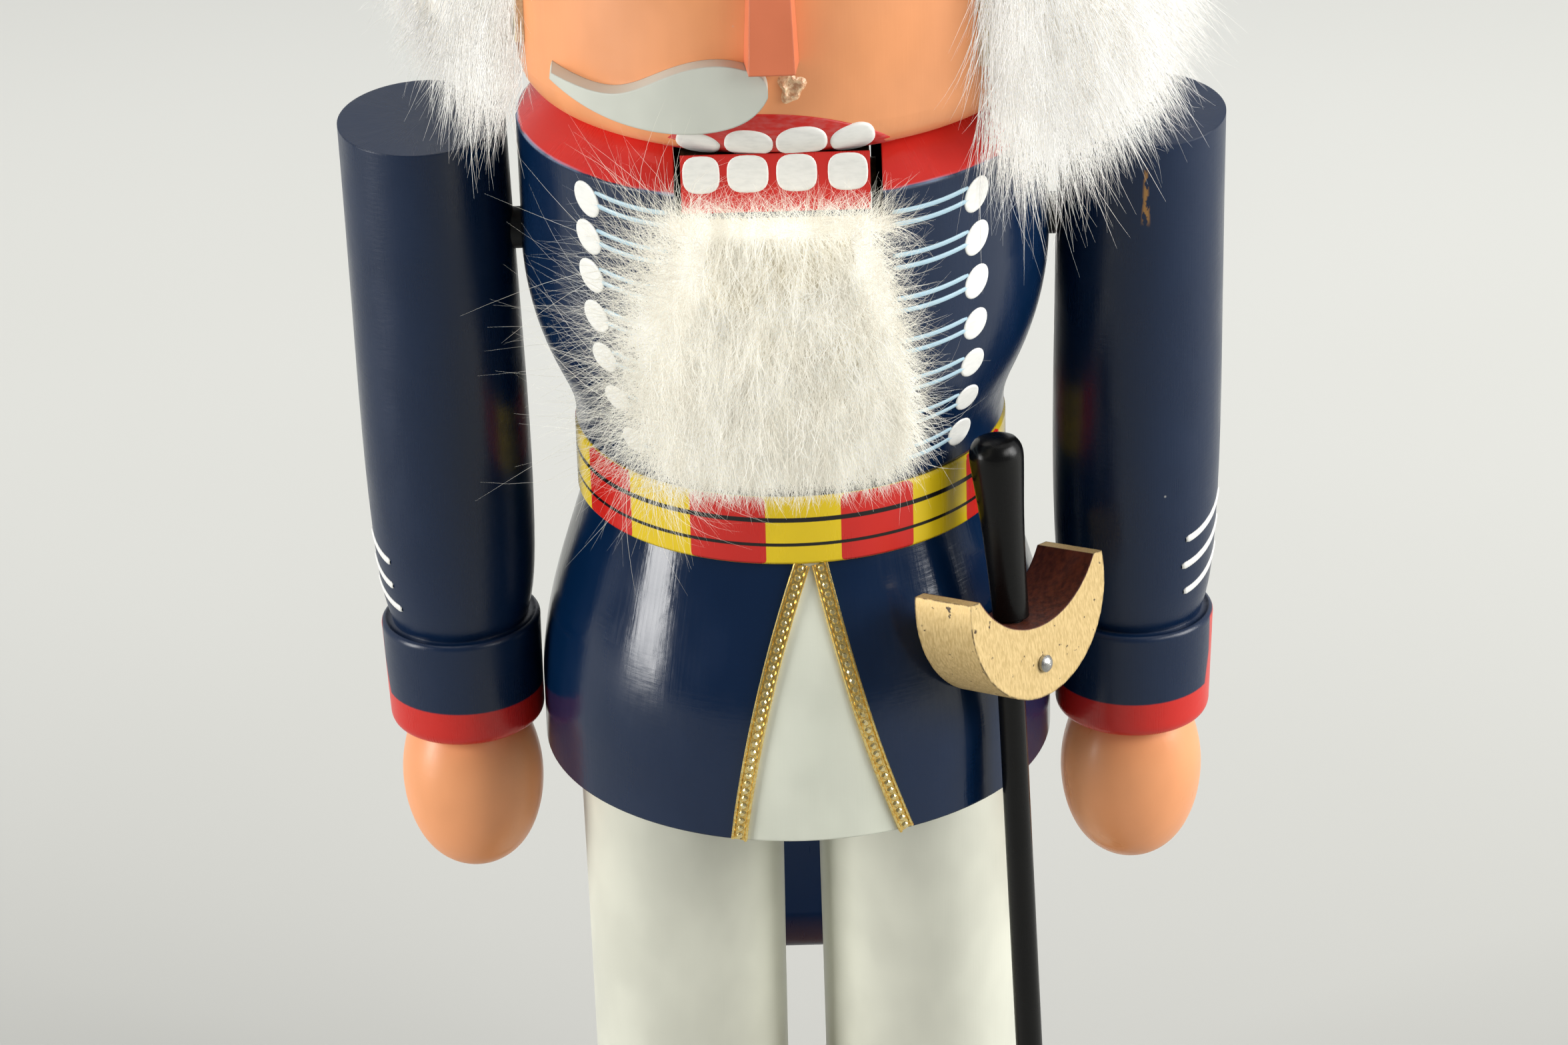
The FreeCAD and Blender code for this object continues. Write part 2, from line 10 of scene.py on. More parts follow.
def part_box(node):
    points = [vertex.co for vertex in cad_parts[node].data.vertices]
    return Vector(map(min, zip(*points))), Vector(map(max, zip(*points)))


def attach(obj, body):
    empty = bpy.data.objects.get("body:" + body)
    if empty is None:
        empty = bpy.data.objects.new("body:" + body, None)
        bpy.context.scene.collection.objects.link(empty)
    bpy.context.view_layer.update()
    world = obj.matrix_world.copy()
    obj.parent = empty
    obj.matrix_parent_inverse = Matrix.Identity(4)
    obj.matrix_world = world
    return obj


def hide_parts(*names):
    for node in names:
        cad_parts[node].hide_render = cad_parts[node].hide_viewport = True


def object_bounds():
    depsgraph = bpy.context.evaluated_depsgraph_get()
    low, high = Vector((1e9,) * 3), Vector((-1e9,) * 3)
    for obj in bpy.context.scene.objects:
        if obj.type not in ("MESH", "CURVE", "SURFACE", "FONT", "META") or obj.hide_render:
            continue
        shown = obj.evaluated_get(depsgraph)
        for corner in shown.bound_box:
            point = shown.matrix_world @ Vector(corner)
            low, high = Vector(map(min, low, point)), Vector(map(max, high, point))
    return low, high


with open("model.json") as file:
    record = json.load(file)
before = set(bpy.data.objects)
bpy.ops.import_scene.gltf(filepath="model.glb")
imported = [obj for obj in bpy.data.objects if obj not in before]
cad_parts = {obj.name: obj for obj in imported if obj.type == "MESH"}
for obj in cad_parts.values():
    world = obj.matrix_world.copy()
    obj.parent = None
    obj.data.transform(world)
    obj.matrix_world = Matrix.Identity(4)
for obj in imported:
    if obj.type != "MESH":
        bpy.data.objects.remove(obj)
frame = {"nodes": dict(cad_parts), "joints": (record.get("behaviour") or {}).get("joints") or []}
CAD_BOX = [list(corner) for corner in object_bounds()]

MM = 0.001


# ---------------------------------------------------------------- places taken from the frame
def top_of(node):
    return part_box(node)[1].z / MM


def bottom_of(node):
    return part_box(node)[0].z / MM


HEM_Z = bottom_of("coat_skirt")
BELT_LOW = bottom_of("belt_ring")
BELT_TOP = top_of("belt_ring")
CHIN_Z = bottom_of("head")
HEAD_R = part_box("head")[1].x / MM
RIM_Z = CHIN_Z - 4.8             # shoulder rim of the upper body: navy below, red above
CUFF_LOW = {-1: bottom_of("arm_right"), 1: bottom_of("arm_left")}    # the figure's right is -1
CUFF_HIGH = 17.2                 # height of a cuff
ARM_LEAN = {-1: math.tan(math.radians(1.0)), 1: math.tan(math.radians(0.5))}
FISTS = {-1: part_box("hand_right"), 1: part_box("hand_left")}
JAW_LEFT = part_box("jaw_lever")[1].x / MM
JAW_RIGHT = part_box("jaw_lever")[0].x / MM
JAW_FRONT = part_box("jaw_lever")[0].y / MM
JAW_TOP = top_of("jaw_lever")
LEATHER_TOP = top_of("beard_leather")
LEATHER_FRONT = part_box("beard_leather")[0].y / MM
BOOT_TOP = 53.0
SLOT_LEFT = JAW_LEFT + 1.6
SLOT_RIGHT = JAW_RIGHT - 0.9
JOINTS = {joint["name"]: joint for joint in frame["joints"]}
SABRE_JOINT = JOINTS["sabre_swing"]
BEARD_HINGE = Vector(JOINTS["beard_hang"]["pos_m"]) / MM
BEARD_SWING = math.tan(math.radians(-JOINTS["beard_hang"]["range_deg"][0]))
FUR_FRONT = CAD_BOX[0][1] / MM - 8.0    # no hair reaches farther forward


def arm_x(side, z):
    """Where an arm's axis is at a height; its fist, at the widest, shows where it is there."""
    low, high = FISTS[side]
    return (low.x + high.x) / 2 / MM + side * ARM_LEAN[side] * (z - low.z / MM - 14.5)


def braid_x(name, down):
    """Where a strip of coat braid is, from 0 at the waist to 1 at the hem; it strays sideways in between."""
    low, high = (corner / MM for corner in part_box(name))
    if name.endswith("right"):
        top, hem, bow = high.x - 1.23, low.x + 1.23, -1.25
    else:
        top, hem, bow = low.x + 1.18, high.x - 1.18, -0.5
    return top + (hem - top) * down + bow * 4 * down * (1 - down)


# ---------------------------------------------------------------- colours
def srgb(red, green, blue):
    """Linear colour from the usual 0 to 255 numbers."""
    def linear(value):
        value /= 255.0
        return value / 12.92 if value <= 0.04045 else ((value + 0.055) / 1.055) ** 2.4
    return (linear(red), linear(green), linear(blue), 1.0)


NAVY = srgb(5, 31, 62)
RED = srgb(206, 36, 28)
YELLOW = srgb(232, 200, 24)
WHITE = srgb(246, 246, 241)
TROUSER_WHITE = srgb(222, 223, 208)
MOUSTACHE_WHITE = srgb(206, 209, 198)
FLESH = srgb(242, 164, 112)
NOSE = srgb(226, 126, 88)
BLACK = srgb(14, 14, 15)
LIGHT_BLUE = srgb(176, 208, 224)
GOLD_PAINT = srgb(200, 172, 116)
GOLD_METAL = srgb(255, 234, 160)
RED_WOOD = srgb(104, 50, 30)
BEECH = srgb(196, 160, 116)
DUST = srgb(205, 205, 200)


# ---------------------------------------------------------------- materials: node helpers
class Field:
    """One number that varies over a surface. Arithmetic on it adds Math nodes to the material."""

    def __init__(self, paint, socket):
        self.paint = paint
        self.socket = socket

    def op(self, operation, *others):
        return self.paint.math(operation, self, *others)

    def __add__(self, other):
        return self.op("ADD", other)

    def __sub__(self, other):
        return self.op("SUBTRACT", other)

    def __rsub__(self, other):
        return self.paint.math("SUBTRACT", other, self)

    def __mul__(self, other):
        return self.op("MULTIPLY", other)

    def __truediv__(self, other):
        return self.op("DIVIDE", other)

    __radd__ = __add__
    __rmul__ = __mul__

    def size(self):
        return self.op("ABSOLUTE")

    def at_least(self, other):
        return self.op("MAXIMUM", other)

    def at_most(self, other):
        return self.op("MINIMUM", other)

    def above(self, level, soft=0.06):
        """0 below the level, 1 above it, with a soft edge."""
        return self.paint.ramp(self, level - soft, level + soft)

    def below(self, level, soft=0.06):
        return 1.0 - self.above(level, soft)

    def between(self, low, high, soft=0.06):
        return self.above(low, soft) * self.below(high, soft)


class Paint:
    """A material being built. Lengths in it are millimetres in the row frame."""

    def __init__(self, name):
        self.material = bpy.data.materials.new(name)
        self.material.use_nodes = True
        self.tree = self.material.node_tree
        self.shader = self.tree.nodes["Principled BSDF"]
        self.place = self.node("ShaderNodeTexCoord").outputs["Object"]
        split = self.node("ShaderNodeSeparateXYZ", Vector=self.place)
        self.x, self.y, self.z = [Field(self, split.outputs[i]) * 1000.0 for i in range(3)]
        self.bumps = []

    def node(self, kind, properties=None, **inputs):
        node = self.tree.nodes.new(kind)
        for key, value in (properties or {}).items():
            setattr(node, key, value)
        for key, value in inputs.items():
            self.join(value, node.inputs[key.replace("_", " ")])
        return node

    def join(self, value, socket):
        """Links an output or a Field to a socket, or sets the socket's own value."""
        if isinstance(value, Field):
            value = value.socket
        if isinstance(value, bpy.types.NodeSocket):
            self.tree.links.new(value, socket)
        else:
            socket.default_value = value

    def math(self, operation, *values):
        node = self.node("ShaderNodeMath", {"operation": operation})
        for value, socket in zip(values, node.inputs):
            self.join(value, socket)
        return Field(self, node.outputs[0])

    def ramp(self, value, low, high, out_low=0.0, out_high=1.0):
        node = self.node("ShaderNodeMapRange", {"interpolation_type": "SMOOTHSTEP"}, Value=value,
                         From_Min=low, From_Max=high, To_Min=out_low, To_Max=out_high)
        return Field(self, node.outputs[0])

    def mix(self, mask, colour_a, colour_b):
        """colour_a where the mask is 0, colour_b where it is 1."""
        node = self.node("ShaderNodeMix", {"data_type": "RGBA"})
        self.join(mask, node.inputs[0])
        self.join(colour_a, node.inputs[6])
        self.join(colour_b, node.inputs[7])
        return node.outputs[2]

    def shaded(self, colour, share):
        """The colour times a number that varies over the surface."""
        if not isinstance(colour, bpy.types.NodeSocket):
            colour = colour[:3]
        node = self.node("ShaderNodeVectorMath", {"operation": "SCALE"})
        self.join(colour, node.inputs[0])
        self.join(share, node.inputs["Scale"])
        return node.outputs[0]

    def azimuth(self, axis_x=0.0):
        """Degrees round an upright axis, 0 at the front and growing towards +X."""
        return self.math("ARCTAN2", self.x - axis_x, -1.0 * self.y) * math.degrees(1)

    def round_place(self, axis_x=0.0, radius=36.0):
        """A place vector unrolled round an upright axis: metres round, metres out, metres up."""
        round_way = self.azimuth(axis_x) * math.radians(radius * MM)
        join = self.node("ShaderNodeCombineXYZ", X=round_way, Y=0.0, Z=self.z * MM)
        return join.outputs[0]

    def noise(self, size, stretch=(1, 1, 1), detail=2.0, place=None):
        """Noise with blotches about size millimetres across, times the stretch along each axis."""
        scale = [1.0 / (size * MM * s) for s in stretch]
        mapped = self.node("ShaderNodeMapping", Vector=place or self.place, Scale=scale)
        return Field(self, self.node("ShaderNodeTexNoise", Vector=mapped.outputs[0], Scale=1.0,
                                     Detail=detail).outputs[0])

    def specks(self, spacing, radius):
        """Small round dots, one to each cell of the spacing."""
        dots = self.node("ShaderNodeTexVoronoi", Vector=self.place, Scale=1.0 / (spacing * MM))
        chosen = self.noise(spacing * 2.3).above(0.62, 0.02)
        return Field(self, dots.outputs["Distance"]).below(radius / spacing, 0.02) * chosen

    def bump(self, height, depth):
        """Adds relief: height from 0 to 1 stands for depth millimetres."""
        self.bumps.append((height, depth * MM))

    def finish(self, colour, roughness, edge_round=0.0, **inputs):
        """Sets the shader's inputs, chains the relief and rounds the light on sharp edges."""
        self.join(colour, self.shader.inputs["Base Color"])
        self.join(roughness, self.shader.inputs["Roughness"])
        for key, value in inputs.items():
            self.join(value, self.shader.inputs[key.replace("_", " ")])
        normal = None
        if edge_round:
            normal = self.node("ShaderNodeBevel", {"samples": 4}, Radius=edge_round * MM).outputs[0]
        for height, depth in self.bumps:
            relief = self.node("ShaderNodeBump", Height=height, Distance=depth)
            if normal:
                self.join(normal, relief.inputs["Normal"])
            normal = relief.outputs[0]
        if normal:
            self.join(normal, self.shader.inputs["Normal"])
            self.join(normal, self.shader.inputs["Coat Normal"])
        return self.material


def lacquer(name, colour_of, gloss=0.26, axis_x=0.0, dusty=True, lathe=0.5, matt_of=None, shine=0.5):
    """Brushed enamel on turned wood: faint lathe rings and grain, uneven gloss, specks of dust, worn edges."""
    paint = Paint(name)
    colour = colour_of(paint)
    unrolled = paint.round_place(axis_x)
    rings = paint.noise(0.5, (14, 1, 1), 2.0, unrolled)
    grain = paint.noise(0.45, (1, 1, 22), 3.0, unrolled)
    blotch = paint.noise(9.0, (1, 1, 1.6), 2.0)
    paint.bump(rings, 0.024 * lathe)
    paint.bump(grain, 0.012)
    paint.bump(paint.noise(2.6), 0.03)
    shade = paint.ramp(blotch, 0.3, 0.7, 0.94, 1.04)
    final = paint.shaded(colour, shade)
    if dusty:
        final = paint.mix(paint.specks(7.0, 0.13) * 0.7, final, DUST)
    roughness = paint.ramp(blotch + grain * 0.4, 0.4, 0.95, gloss - 0.05, gloss + 0.10)
    if matt_of:
        matt = matt_of(paint)
        roughness = roughness.at_least(matt * 0.95)
        shine = shine - matt * shine
    return paint.finish(final, roughness, edge_round=0.35, Specular_IOR_Level=shine)


def plain(colour):
    """A colour rule for lacquer(): one colour all over."""
    def rule(paint):
        return colour
    return rule


# ---------------------------------------------------------------- materials: colour rules of the painted parts
def skirt_colours(paint):
    """Navy, with a white panel between the two strips of braid."""
    down = (BELT_LOW - 0.3 - paint.z) / (BELT_LOW - HEM_Z - 0.4)
    left = braid_x("coat_braid_right", down)
    right = braid_x("coat_braid_left", down)
    panel = (paint.x - left).above(0.0) * (right - paint.x).above(0.0) * paint.y.below(-20.0)
    stain = paint.ramp(paint.noise(7.0, (1, 1, 3)), 0.35, 0.9, 0.0, 0.4)
    white = paint.mix(stain, srgb(224, 227, 212), srgb(206, 211, 194))
    return paint.mix(panel, NAVY, white)


def belt_colours(paint):
    """Yellow, with rounded red patches and two black lines all round."""
    pitch, patch, first = 360.0 / 9, 20.5, 22.5
    turn = paint.azimuth() - first + pitch / 2 + 720.0
    inside = turn.op("MODULO", pitch) - pitch / 2
    side = (inside.size() - (patch / 2 - 1.6)).at_least(0.0) * 0.54
    height = ((paint.z - (BELT_LOW + BELT_TOP) / 2).size() - 4.3).at_least(0.0)
    corner = (side * side + height * height).op("SQRT")
    colour = paint.mix(corner.below(0.85), YELLOW, RED)
    upper = paint.z.between(BELT_LOW + 6.6, BELT_LOW + 7.3, 0.05)
    lower = paint.z.between(BELT_LOW + 2.9, BELT_LOW + 3.4, 0.05)
    return paint.mix(upper.at_least(lower), colour, BLACK)


def chest_colours(paint):
    """Navy up to the shoulder rim and red above it, with a broken pale painted highlight just under the rim; black
    inside the slot.
    """
    wobble = paint.noise(4.0) * 0.3
    colour = paint.mix((paint.z + wobble).above(RIM_Z - 0.1), NAVY, RED)
    # a broken pale-blue line just under the rim: a painted highlight where the rounded rim edge catches the light
    rim = paint.z.between(RIM_Z - 0.45, RIM_Z - 0.1, 0.08) * paint.ramp(paint.noise(7.0), 0.35, 0.6)
    colour = paint.mix(rim * 0.6, colour, srgb(150, 172, 204))
    return paint.mix(in_the_slot(paint), colour, BLACK)


def in_the_slot(paint):
    """1 on the sawn faces inside the chest's slot."""
    across = paint.x.between(SLOT_RIGHT - 0.03, SLOT_LEFT + 0.03, 0.02)
    return across * paint.y.size().below(36.6, 0.3)


def lever_colours(paint):
    """Navy board; the jaw's front is red down to a navy line over the beard, and its mouth is black."""
    front = paint.y.below(JAW_FRONT + 0.4, 0.15)
    red = front * paint.z.above(LEATHER_TOP + 0.9, 0.1)
    jaw_side = paint.y.between(JAW_FRONT - 1, 34.0, 0.5) * (1.0 - front)
    colour = paint.mix(jaw_side, NAVY, BLACK)
    return paint.mix(red, colour, RED)


def head_colours(paint):
    """Flesh, a little redder on the cheeks."""
    cheek = paint.noise(16.0, (1, 1, 1), 1.0)
    return paint.mix(paint.ramp(cheek, 0.4, 0.7, 0.0, 0.35), FLESH, srgb(248, 164, 104))


def sleeve_colours(side):
    """Navy, with a red band round the bottom of the cuff and a red stripe up its outer side."""
    def rule(paint):
        height = paint.z - CUFF_LOW[side]
        out = (paint.x - (paint.z * (side * ARM_LEAN[side]) + arm_x(side, 0.0))) * side
        flare = (1.0 - (height - 5.9) / 5.0).at_least(0.0) * 0.6
        stripe = (out + flare).above(10.9 if side > 0 else 11.5, 0.1) * height.below(CUFF_HIGH - 0.7, 0.2)
        colour = paint.mix(height.below(5.9, 0.15).at_least(stripe), NAVY, RED)
        return chipped(paint, colour, side) if side > 0 else colour
    return rule


def chipped(paint, colour, side):
    """A narrow streak on the left sleeve's front where the paint has flaked down to the wood."""
    across = (paint.azimuth(arm_x(side, 200.0)) + 1.0).size()
    streak = (across + (paint.z - 198.0) * 0.22).below(2.6, 1.2) * paint.z.between(197.8, 207.0, 0.8)
    flakes = paint.noise(0.7, (1, 1, 2), 3.0).above(0.5, 0.04)
    return paint.mix(streak * flakes, colour, srgb(158, 116, 62))


def leg_colours(paint):
    """White trousers over black boots with a gold rim."""
    boots = paint.mix(paint.z.between(BOOT_TOP - 3.2, BOOT_TOP + 0.3, 0.1), BLACK, GOLD_PAINT)
    stain = paint.ramp(paint.noise(16.0, (1, 1, 5), 1.0), 0.3, 0.9, 0.0, 0.14)
    white = paint.mix(stain, TROUSER_WHITE, srgb(212, 214, 200))
    return paint.mix(paint.z.above(BOOT_TOP + 0.3, 0.1), boots, white)


def hat_colours(paint):
    """Navy, red round the crown."""
    crown = top_of("hat_body")
    return paint.mix(paint.z.between(crown - 10.0, crown - 3.0, 0.1), NAVY, RED)


# ---------------------------------------------------------------- materials that aren't lacquer
def gold_paint_material():
    """Brushed gold paint on wood, rubbed dark along the edges; the sabre's guard is bare red wood inside."""
    paint = Paint("gold_paint")
    out = Vector(SABRE_JOINT["axis"])
    across = Vector((-out.y, out.x, 0)).normalized()
    up = out.cross(across)
    nail = Vector(SABRE_JOINT["pos_m"]) / MM

    def along(direction):
        parts = [paint.x - nail.x, paint.y - nail.y, paint.z - nail.z]
        return parts[0] * direction.x + parts[1] * direction.y + parts[2] * direction.z

    lean = math.radians(5.0)
    side = along(across * math.cos(lean) - up * math.sin(lean))
    rise = along(up * math.cos(lean) + across * math.sin(lean)) - 20.6
    from_middle = (side * side + rise * rise).op("SQRT")
    hollow = from_middle.below(15.12, 0.08)
    brush = paint.noise(0.3, (1, 1, 4), 4.0)
    rub = paint.noise(1.3, (1, 1, 1), 3.0)
    edge = edge_mask(paint, 0.5)
    worn = (edge * rub.above(0.47, 0.08)).at_least(rub.above(0.70, 0.03))
    gold = paint.mix(paint.ramp(brush, 0.3, 0.7), GOLD_PAINT, srgb(222, 196, 142))
    gold = paint.mix(worn, gold, srgb(74, 54, 30))
    figure = paint.noise(0.8, (1, 1, 7), 4.0)
    wood = paint.mix(paint.ramp(figure, 0.3, 0.7), RED_WOOD, srgb(66, 28, 18))
    colour = paint.mix(hollow, gold, wood)
    metallic = (1.0 - hollow) * (1.0 - worn) * 0.5
    paint.bump(brush, 0.03)
    paint.bump(rub, 0.05)
    return paint.finish(colour, paint.ramp(brush, 0.3, 0.7, 0.46, 0.6), edge_round=0.3, Metallic=metallic)


def edge_mask(paint, radius):
    """1 near sharp edges: where the rounded normal leaves the true one."""
    rounded = paint.node("ShaderNodeBevel", {"samples": 6}, Radius=radius * MM)
    true = paint.node("ShaderNodeNewGeometry")
    same = paint.node("ShaderNodeVectorMath", {"operation": "DOT_PRODUCT"})
    paint.join(rounded.outputs[0], same.inputs[0])
    paint.join(true.outputs["Normal"], same.inputs[1])
    return Field(paint, same.outputs["Value"]).below(0.93, 0.06)


def gold_metal_material():
    """The metallised braid: bright gold, mottled with a darker gold."""
    paint = Paint("gold_braid")
    mottle = paint.noise(0.5, (1, 1, 1), 3.0)
    colour = paint.mix(paint.ramp(mottle, 0.3, 0.7), GOLD_METAL, srgb(232, 192, 100))
    paint.bump(mottle, 0.03)
    return paint.finish(colour, paint.ramp(mottle, 0.3, 0.7, 0.16, 0.34), Metallic=0.92)


def bead_material():
    """Small faceted beads set in the braid."""
    paint = Paint("gold_beads")
    mottle = paint.noise(1.1)
    colour = paint.mix(mottle, srgb(255, 246, 200), srgb(226, 196, 112))
    return paint.finish(colour, 0.08, Metallic=0.85)


def wood_material(name, light, dark, gloss):
    """Clear-lacquered or bare wood with rings and pores."""
    paint = Paint(name)
    wave = paint.node("ShaderNodeTexWave", {"wave_type": "RINGS"}, Vector=paint.place, Scale=34.0,
                      Distortion=5.0, Detail=3.0, Detail_Scale=1.6)
    rings = Field(paint, wave.outputs["Fac"])
    pores = paint.noise(0.5, (9, 1, 1), 3.0)
    colour = paint.mix(rings * 0.7, light, dark)
    colour = paint.mix(paint.ramp(pores, 0.62, 0.7) * 0.5, colour, dark)
    paint.bump(pores, 0.02)
    return paint.finish(colour, paint.ramp(pores, 0.3, 0.7, gloss, gloss + 0.12), edge_round=0.35, Coat_Weight=0.3)


def steel_material():
    paint = Paint("nail_steel")
    scratch = paint.noise(0.18, (1, 1, 4), 3.0)
    colour = paint.mix(scratch, srgb(206, 206, 204), srgb(142, 140, 136))
    paint.bump(scratch, 0.02)
    return paint.finish(colour, paint.ramp(scratch, 0.3, 0.7, 0.24, 0.42), edge_round=0.2, Metallic=0.95)


def leather_material():
    """The cream suede back of the fur."""
    paint = Paint("fur_skin")
    grain = paint.noise(0.4, (1, 1, 1), 4.0)
    colour = paint.mix(paint.ramp(grain, 0.3, 0.7), srgb(240, 230, 200), srgb(214, 198, 160))
    paint.bump(grain, 0.08)
    return paint.finish(colour, 0.8, Sheen_Weight=0.3)


def fur_material(name, light, dark, outward, painted_glow=0.22):
    """Fine pale hair. Light soaks from hair to hair, so it is shaded partly like one soft mass that faces
    outward, and it glows a little: painted light, an emission of its own colour that stands in for the light bounced
    between hairs."""
    paint = Paint(name)
    lock = paint.noise(3.2, (1, 1, 3), 2.0)
    hair = paint.noise(0.25, (1, 1, 6), 1.0)
    colour = paint.mix(paint.ramp(lock * 0.5 + hair * 0.5, 0.38, 0.62), light, dark)
    true = paint.node("ShaderNodeNewGeometry").outputs["Normal"]
    soft = paint.node("ShaderNodeMix", {"data_type": "VECTOR"})
    paint.join(0.5, soft.inputs[0])
    paint.join(true, soft.inputs[4])
    paint.join(outward(paint), soft.inputs[5])
    facing = paint.node("ShaderNodeVectorMath", {"operation": "NORMALIZE"})
    paint.join(soft.outputs[1], facing.inputs[0])
    # the emission is painted light: a glow that stands in for the light bounced between hairs
    return paint.finish(colour, 0.5, Specular_IOR_Level=0.25, Normal=facing.outputs[0], Emission_Color=light,
                        Emission_Strength=painted_glow)


def away_from_head(paint):
    """Outward for the hair: away from the head's axis and a little up."""
    return paint.node("ShaderNodeCombineXYZ", X=paint.x / 46.0, Y=paint.y / 46.0, Z=0.45).outputs[0]


def away_from_chest(paint):
    """Outward for the beard: forward, and round to its sides."""
    return paint.node("ShaderNodeCombineXYZ", X=paint.x / 34.0, Y=-0.9, Z=0.45).outputs[0]


def enamel(name, colour):
    """Thick brushed enamel for the painted marks."""
    paint = Paint(name)
    brush = paint.noise(0.5, (3, 3, 1), 3.0)
    shade = paint.mix(paint.ramp(brush, 0.35, 0.75) * 0.16, colour, srgb(176, 180, 176))
    paint.bump(brush, 0.02)
    return paint.finish(shade, paint.ramp(brush, 0.3, 0.7, 0.30, 0.45))


# ---------------------------------------------------------------- mesh helpers
def mesh_piece(name, points, faces, material, body, smooth=True):
    """A new piece from points in millimetres, riding on a body."""
    mesh = bpy.data.meshes.new(name)
    mesh.from_pydata([tuple(p) for p in np.asarray(points, float) * MM], [], [tuple(f) for f in faces])
    mesh.polygons.foreach_set("use_smooth", [smooth] * len(mesh.polygons))
    mesh.materials.append(material)
    piece = bpy.data.objects.new(name, mesh)
    bpy.context.scene.collection.objects.link(piece)
    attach(piece, body)
    return piece


def grid_faces(rows, columns, first=0, closed=False):
    """Quads over a grid of points stored row by row; closed joins the last column to the first."""
    faces = []
    for r in range(rows - 1):
        for c in range(columns if closed else columns - 1):
            a = first + r * columns + c
            b = first + r * columns + (c + 1) % columns
            faces.append((a, b, b + columns, a + columns))
    return faces


class Skin:
    """The outside of a CAD node, to lay paint on."""

    def __init__(self, node):
        mesh = frame["nodes"][node].data
        points = [v.co / MM for v in mesh.vertices]
        self.tree = BVHTree.FromPolygons(points, [list(p.vertices) for p in mesh.polygons])

    def lay(self, start, direction, height):
        """The point that a ray meets, lifted off the surface by height."""
        point, normal, _, _ = self.tree.ray_cast(Vector(start), Vector(direction).normalized())
        if point is None:
            raise ValueError(f"paint misses the surface from {tuple(start)}")
        return point + normal * height

    def around(self, azimuth, z, height, axis_x=0.0):
        turn = math.radians(azimuth)
        way = Vector((math.sin(turn), -math.cos(turn), 0))
        return self.lay(Vector((axis_x, 0, z)) + way * 70, -way, height)

    def in_front(self, x, z, height):
        return self.lay((x, -70, z), (0, 1, 0), height)


class Film:
    """A set of thin paint marks that become one piece: each is a small grid laid on a skin."""

    def __init__(self, lay, thickness=0.10):
        self.lay = lay
        self.thickness = thickness
        self.points = []
        self.faces = []

    def stroke(self, path, widths):
        """A brush stroke along 2-D points, as wide at each as widths says, domed across."""
        path = np.array(path, float)
        along = np.gradient(path, axis=0)
        along /= np.linalg.norm(along, axis=1)[:, None]
        side = np.stack([-along[:, 1], along[:, 0]], 1)
        across = [(-1.0, -0.3), (-0.8, 0.6), (0.0, 1.0), (0.8, 0.6), (1.0, -0.3)]
        first = len(self.points)
        for spot, normal, width in zip(path, side, widths):
            for share, lift in across:
                u, v = spot + normal * share * width / 2
                self.points.append(self.lay(u, v, lift * self.thickness))
        self.faces += grid_faces(len(path), len(across), first)

    def patch(self, outline):
        """A filled shape: rings from the outline in to its middle, domed near the edge."""
        outline = np.array(outline, float)
        middle = outline.mean(0)
        rings = [(1.0, -0.3), (0.94, 0.6)] + [(share, 1.0) for share in np.linspace(0.86, 0.06, 10)]
        first = len(self.points)
        for share, lift in rings:
            for u, v in middle + (outline - middle) * share:
                self.points.append(self.lay(u, v, lift * self.thickness))
        count = len(outline)
        self.faces += grid_faces(len(rings), count, first, closed=True)
        last = first + (len(rings) - 1) * count
        self.faces.append(tuple(range(last, last + count)))

    def piece(self, name, material, body, slot):
        made = mesh_piece(name, self.points, self.faces, material, body)
        solid = made.modifiers.new("thickness", "SOLIDIFY")
        solid.thickness = 0.08 * MM
        solid.offset = -1
        return made


def oval(middle, half_wide, half_high, tilt=0.0, count=28, square=2.0):
    """A closed outline; square above 2 makes it boxier."""
    turn = math.radians(tilt)
    points = []
    for i in range(count):
        angle = 2 * math.pi * i / count
        c, s = math.cos(angle), math.sin(angle)
        u = half_wide * math.copysign(abs(c) ** (2 / square), c)
        v = half_high * math.copysign(abs(s) ** (2 / square), s)
        points.append((middle[0] + u * math.cos(turn) - v * math.sin(turn),
                       middle[1] + u * math.sin(turn) + v * math.cos(turn)))
    return points


def line(start, end, count=14, sag=0.0):
    """Points from start to end, bowed by sag in the middle."""
    start, end = np.array(start, float), np.array(end, float)
    share = np.linspace(0, 1, count)[:, None]
    bow = np.array([0, -1.0]) * sag * 4 * share * (1 - share)
    return start + (end - start) * share + bow


def brush_widths(count, width, start=0.5, end=0.6):
    """Widths of a stroke that swells from its start and thins at its end."""
    share = np.linspace(0, 1, count)
    return width * np.minimum(1.0, np.minimum(start + share * 8, end + (1 - share) * 8))


# ---------------------------------------------------------------- painted marks
def frogging(white, blue):
    """Seven rows on either side of the chest: a tilted white oval and two thin lines towards the slot."""
    chest = Skin("upper_body")
    ovals = Film(lambda x, z, h: chest.in_front(x, z, h), 0.14)
    lines = Film(lambda x, z, h: chest.in_front(x, z, h), 0.07)
    rows = 7
    for side in (-1, 1):
        for row in range(rows):
            share = row / (rows - 1)
            if side > 0:
                x, z = 26.0 - 2.4 * share ** 3, RIM_Z - 4.3 - 38.3 * share
            else:
                x, z = -26.9 + 5.0 * share ** 3, RIM_Z - 3.8 - 33.0 * share * (1 + 0.14 * share ** 2)
            ovals.patch(oval((x, z), 1.65, 2.6 - 0.35 * share, -18.0 * side))
            slot_edge = SLOT_LEFT + 1.2 if side > 0 else SLOT_RIGHT - 1.0
            for offset in (1.45, -0.35):
                start = (x - side * 1.2, z + offset)
                end = (slot_edge, z + offset - 0.6)
                lines.stroke(line(start, end, 16, 0.35), brush_widths(16, 0.62))
    ovals.piece("chest_ovals", white, "figure", "white_lacquer")
    lines.piece("chest_lines", blue, "figure", "white_lacquer")


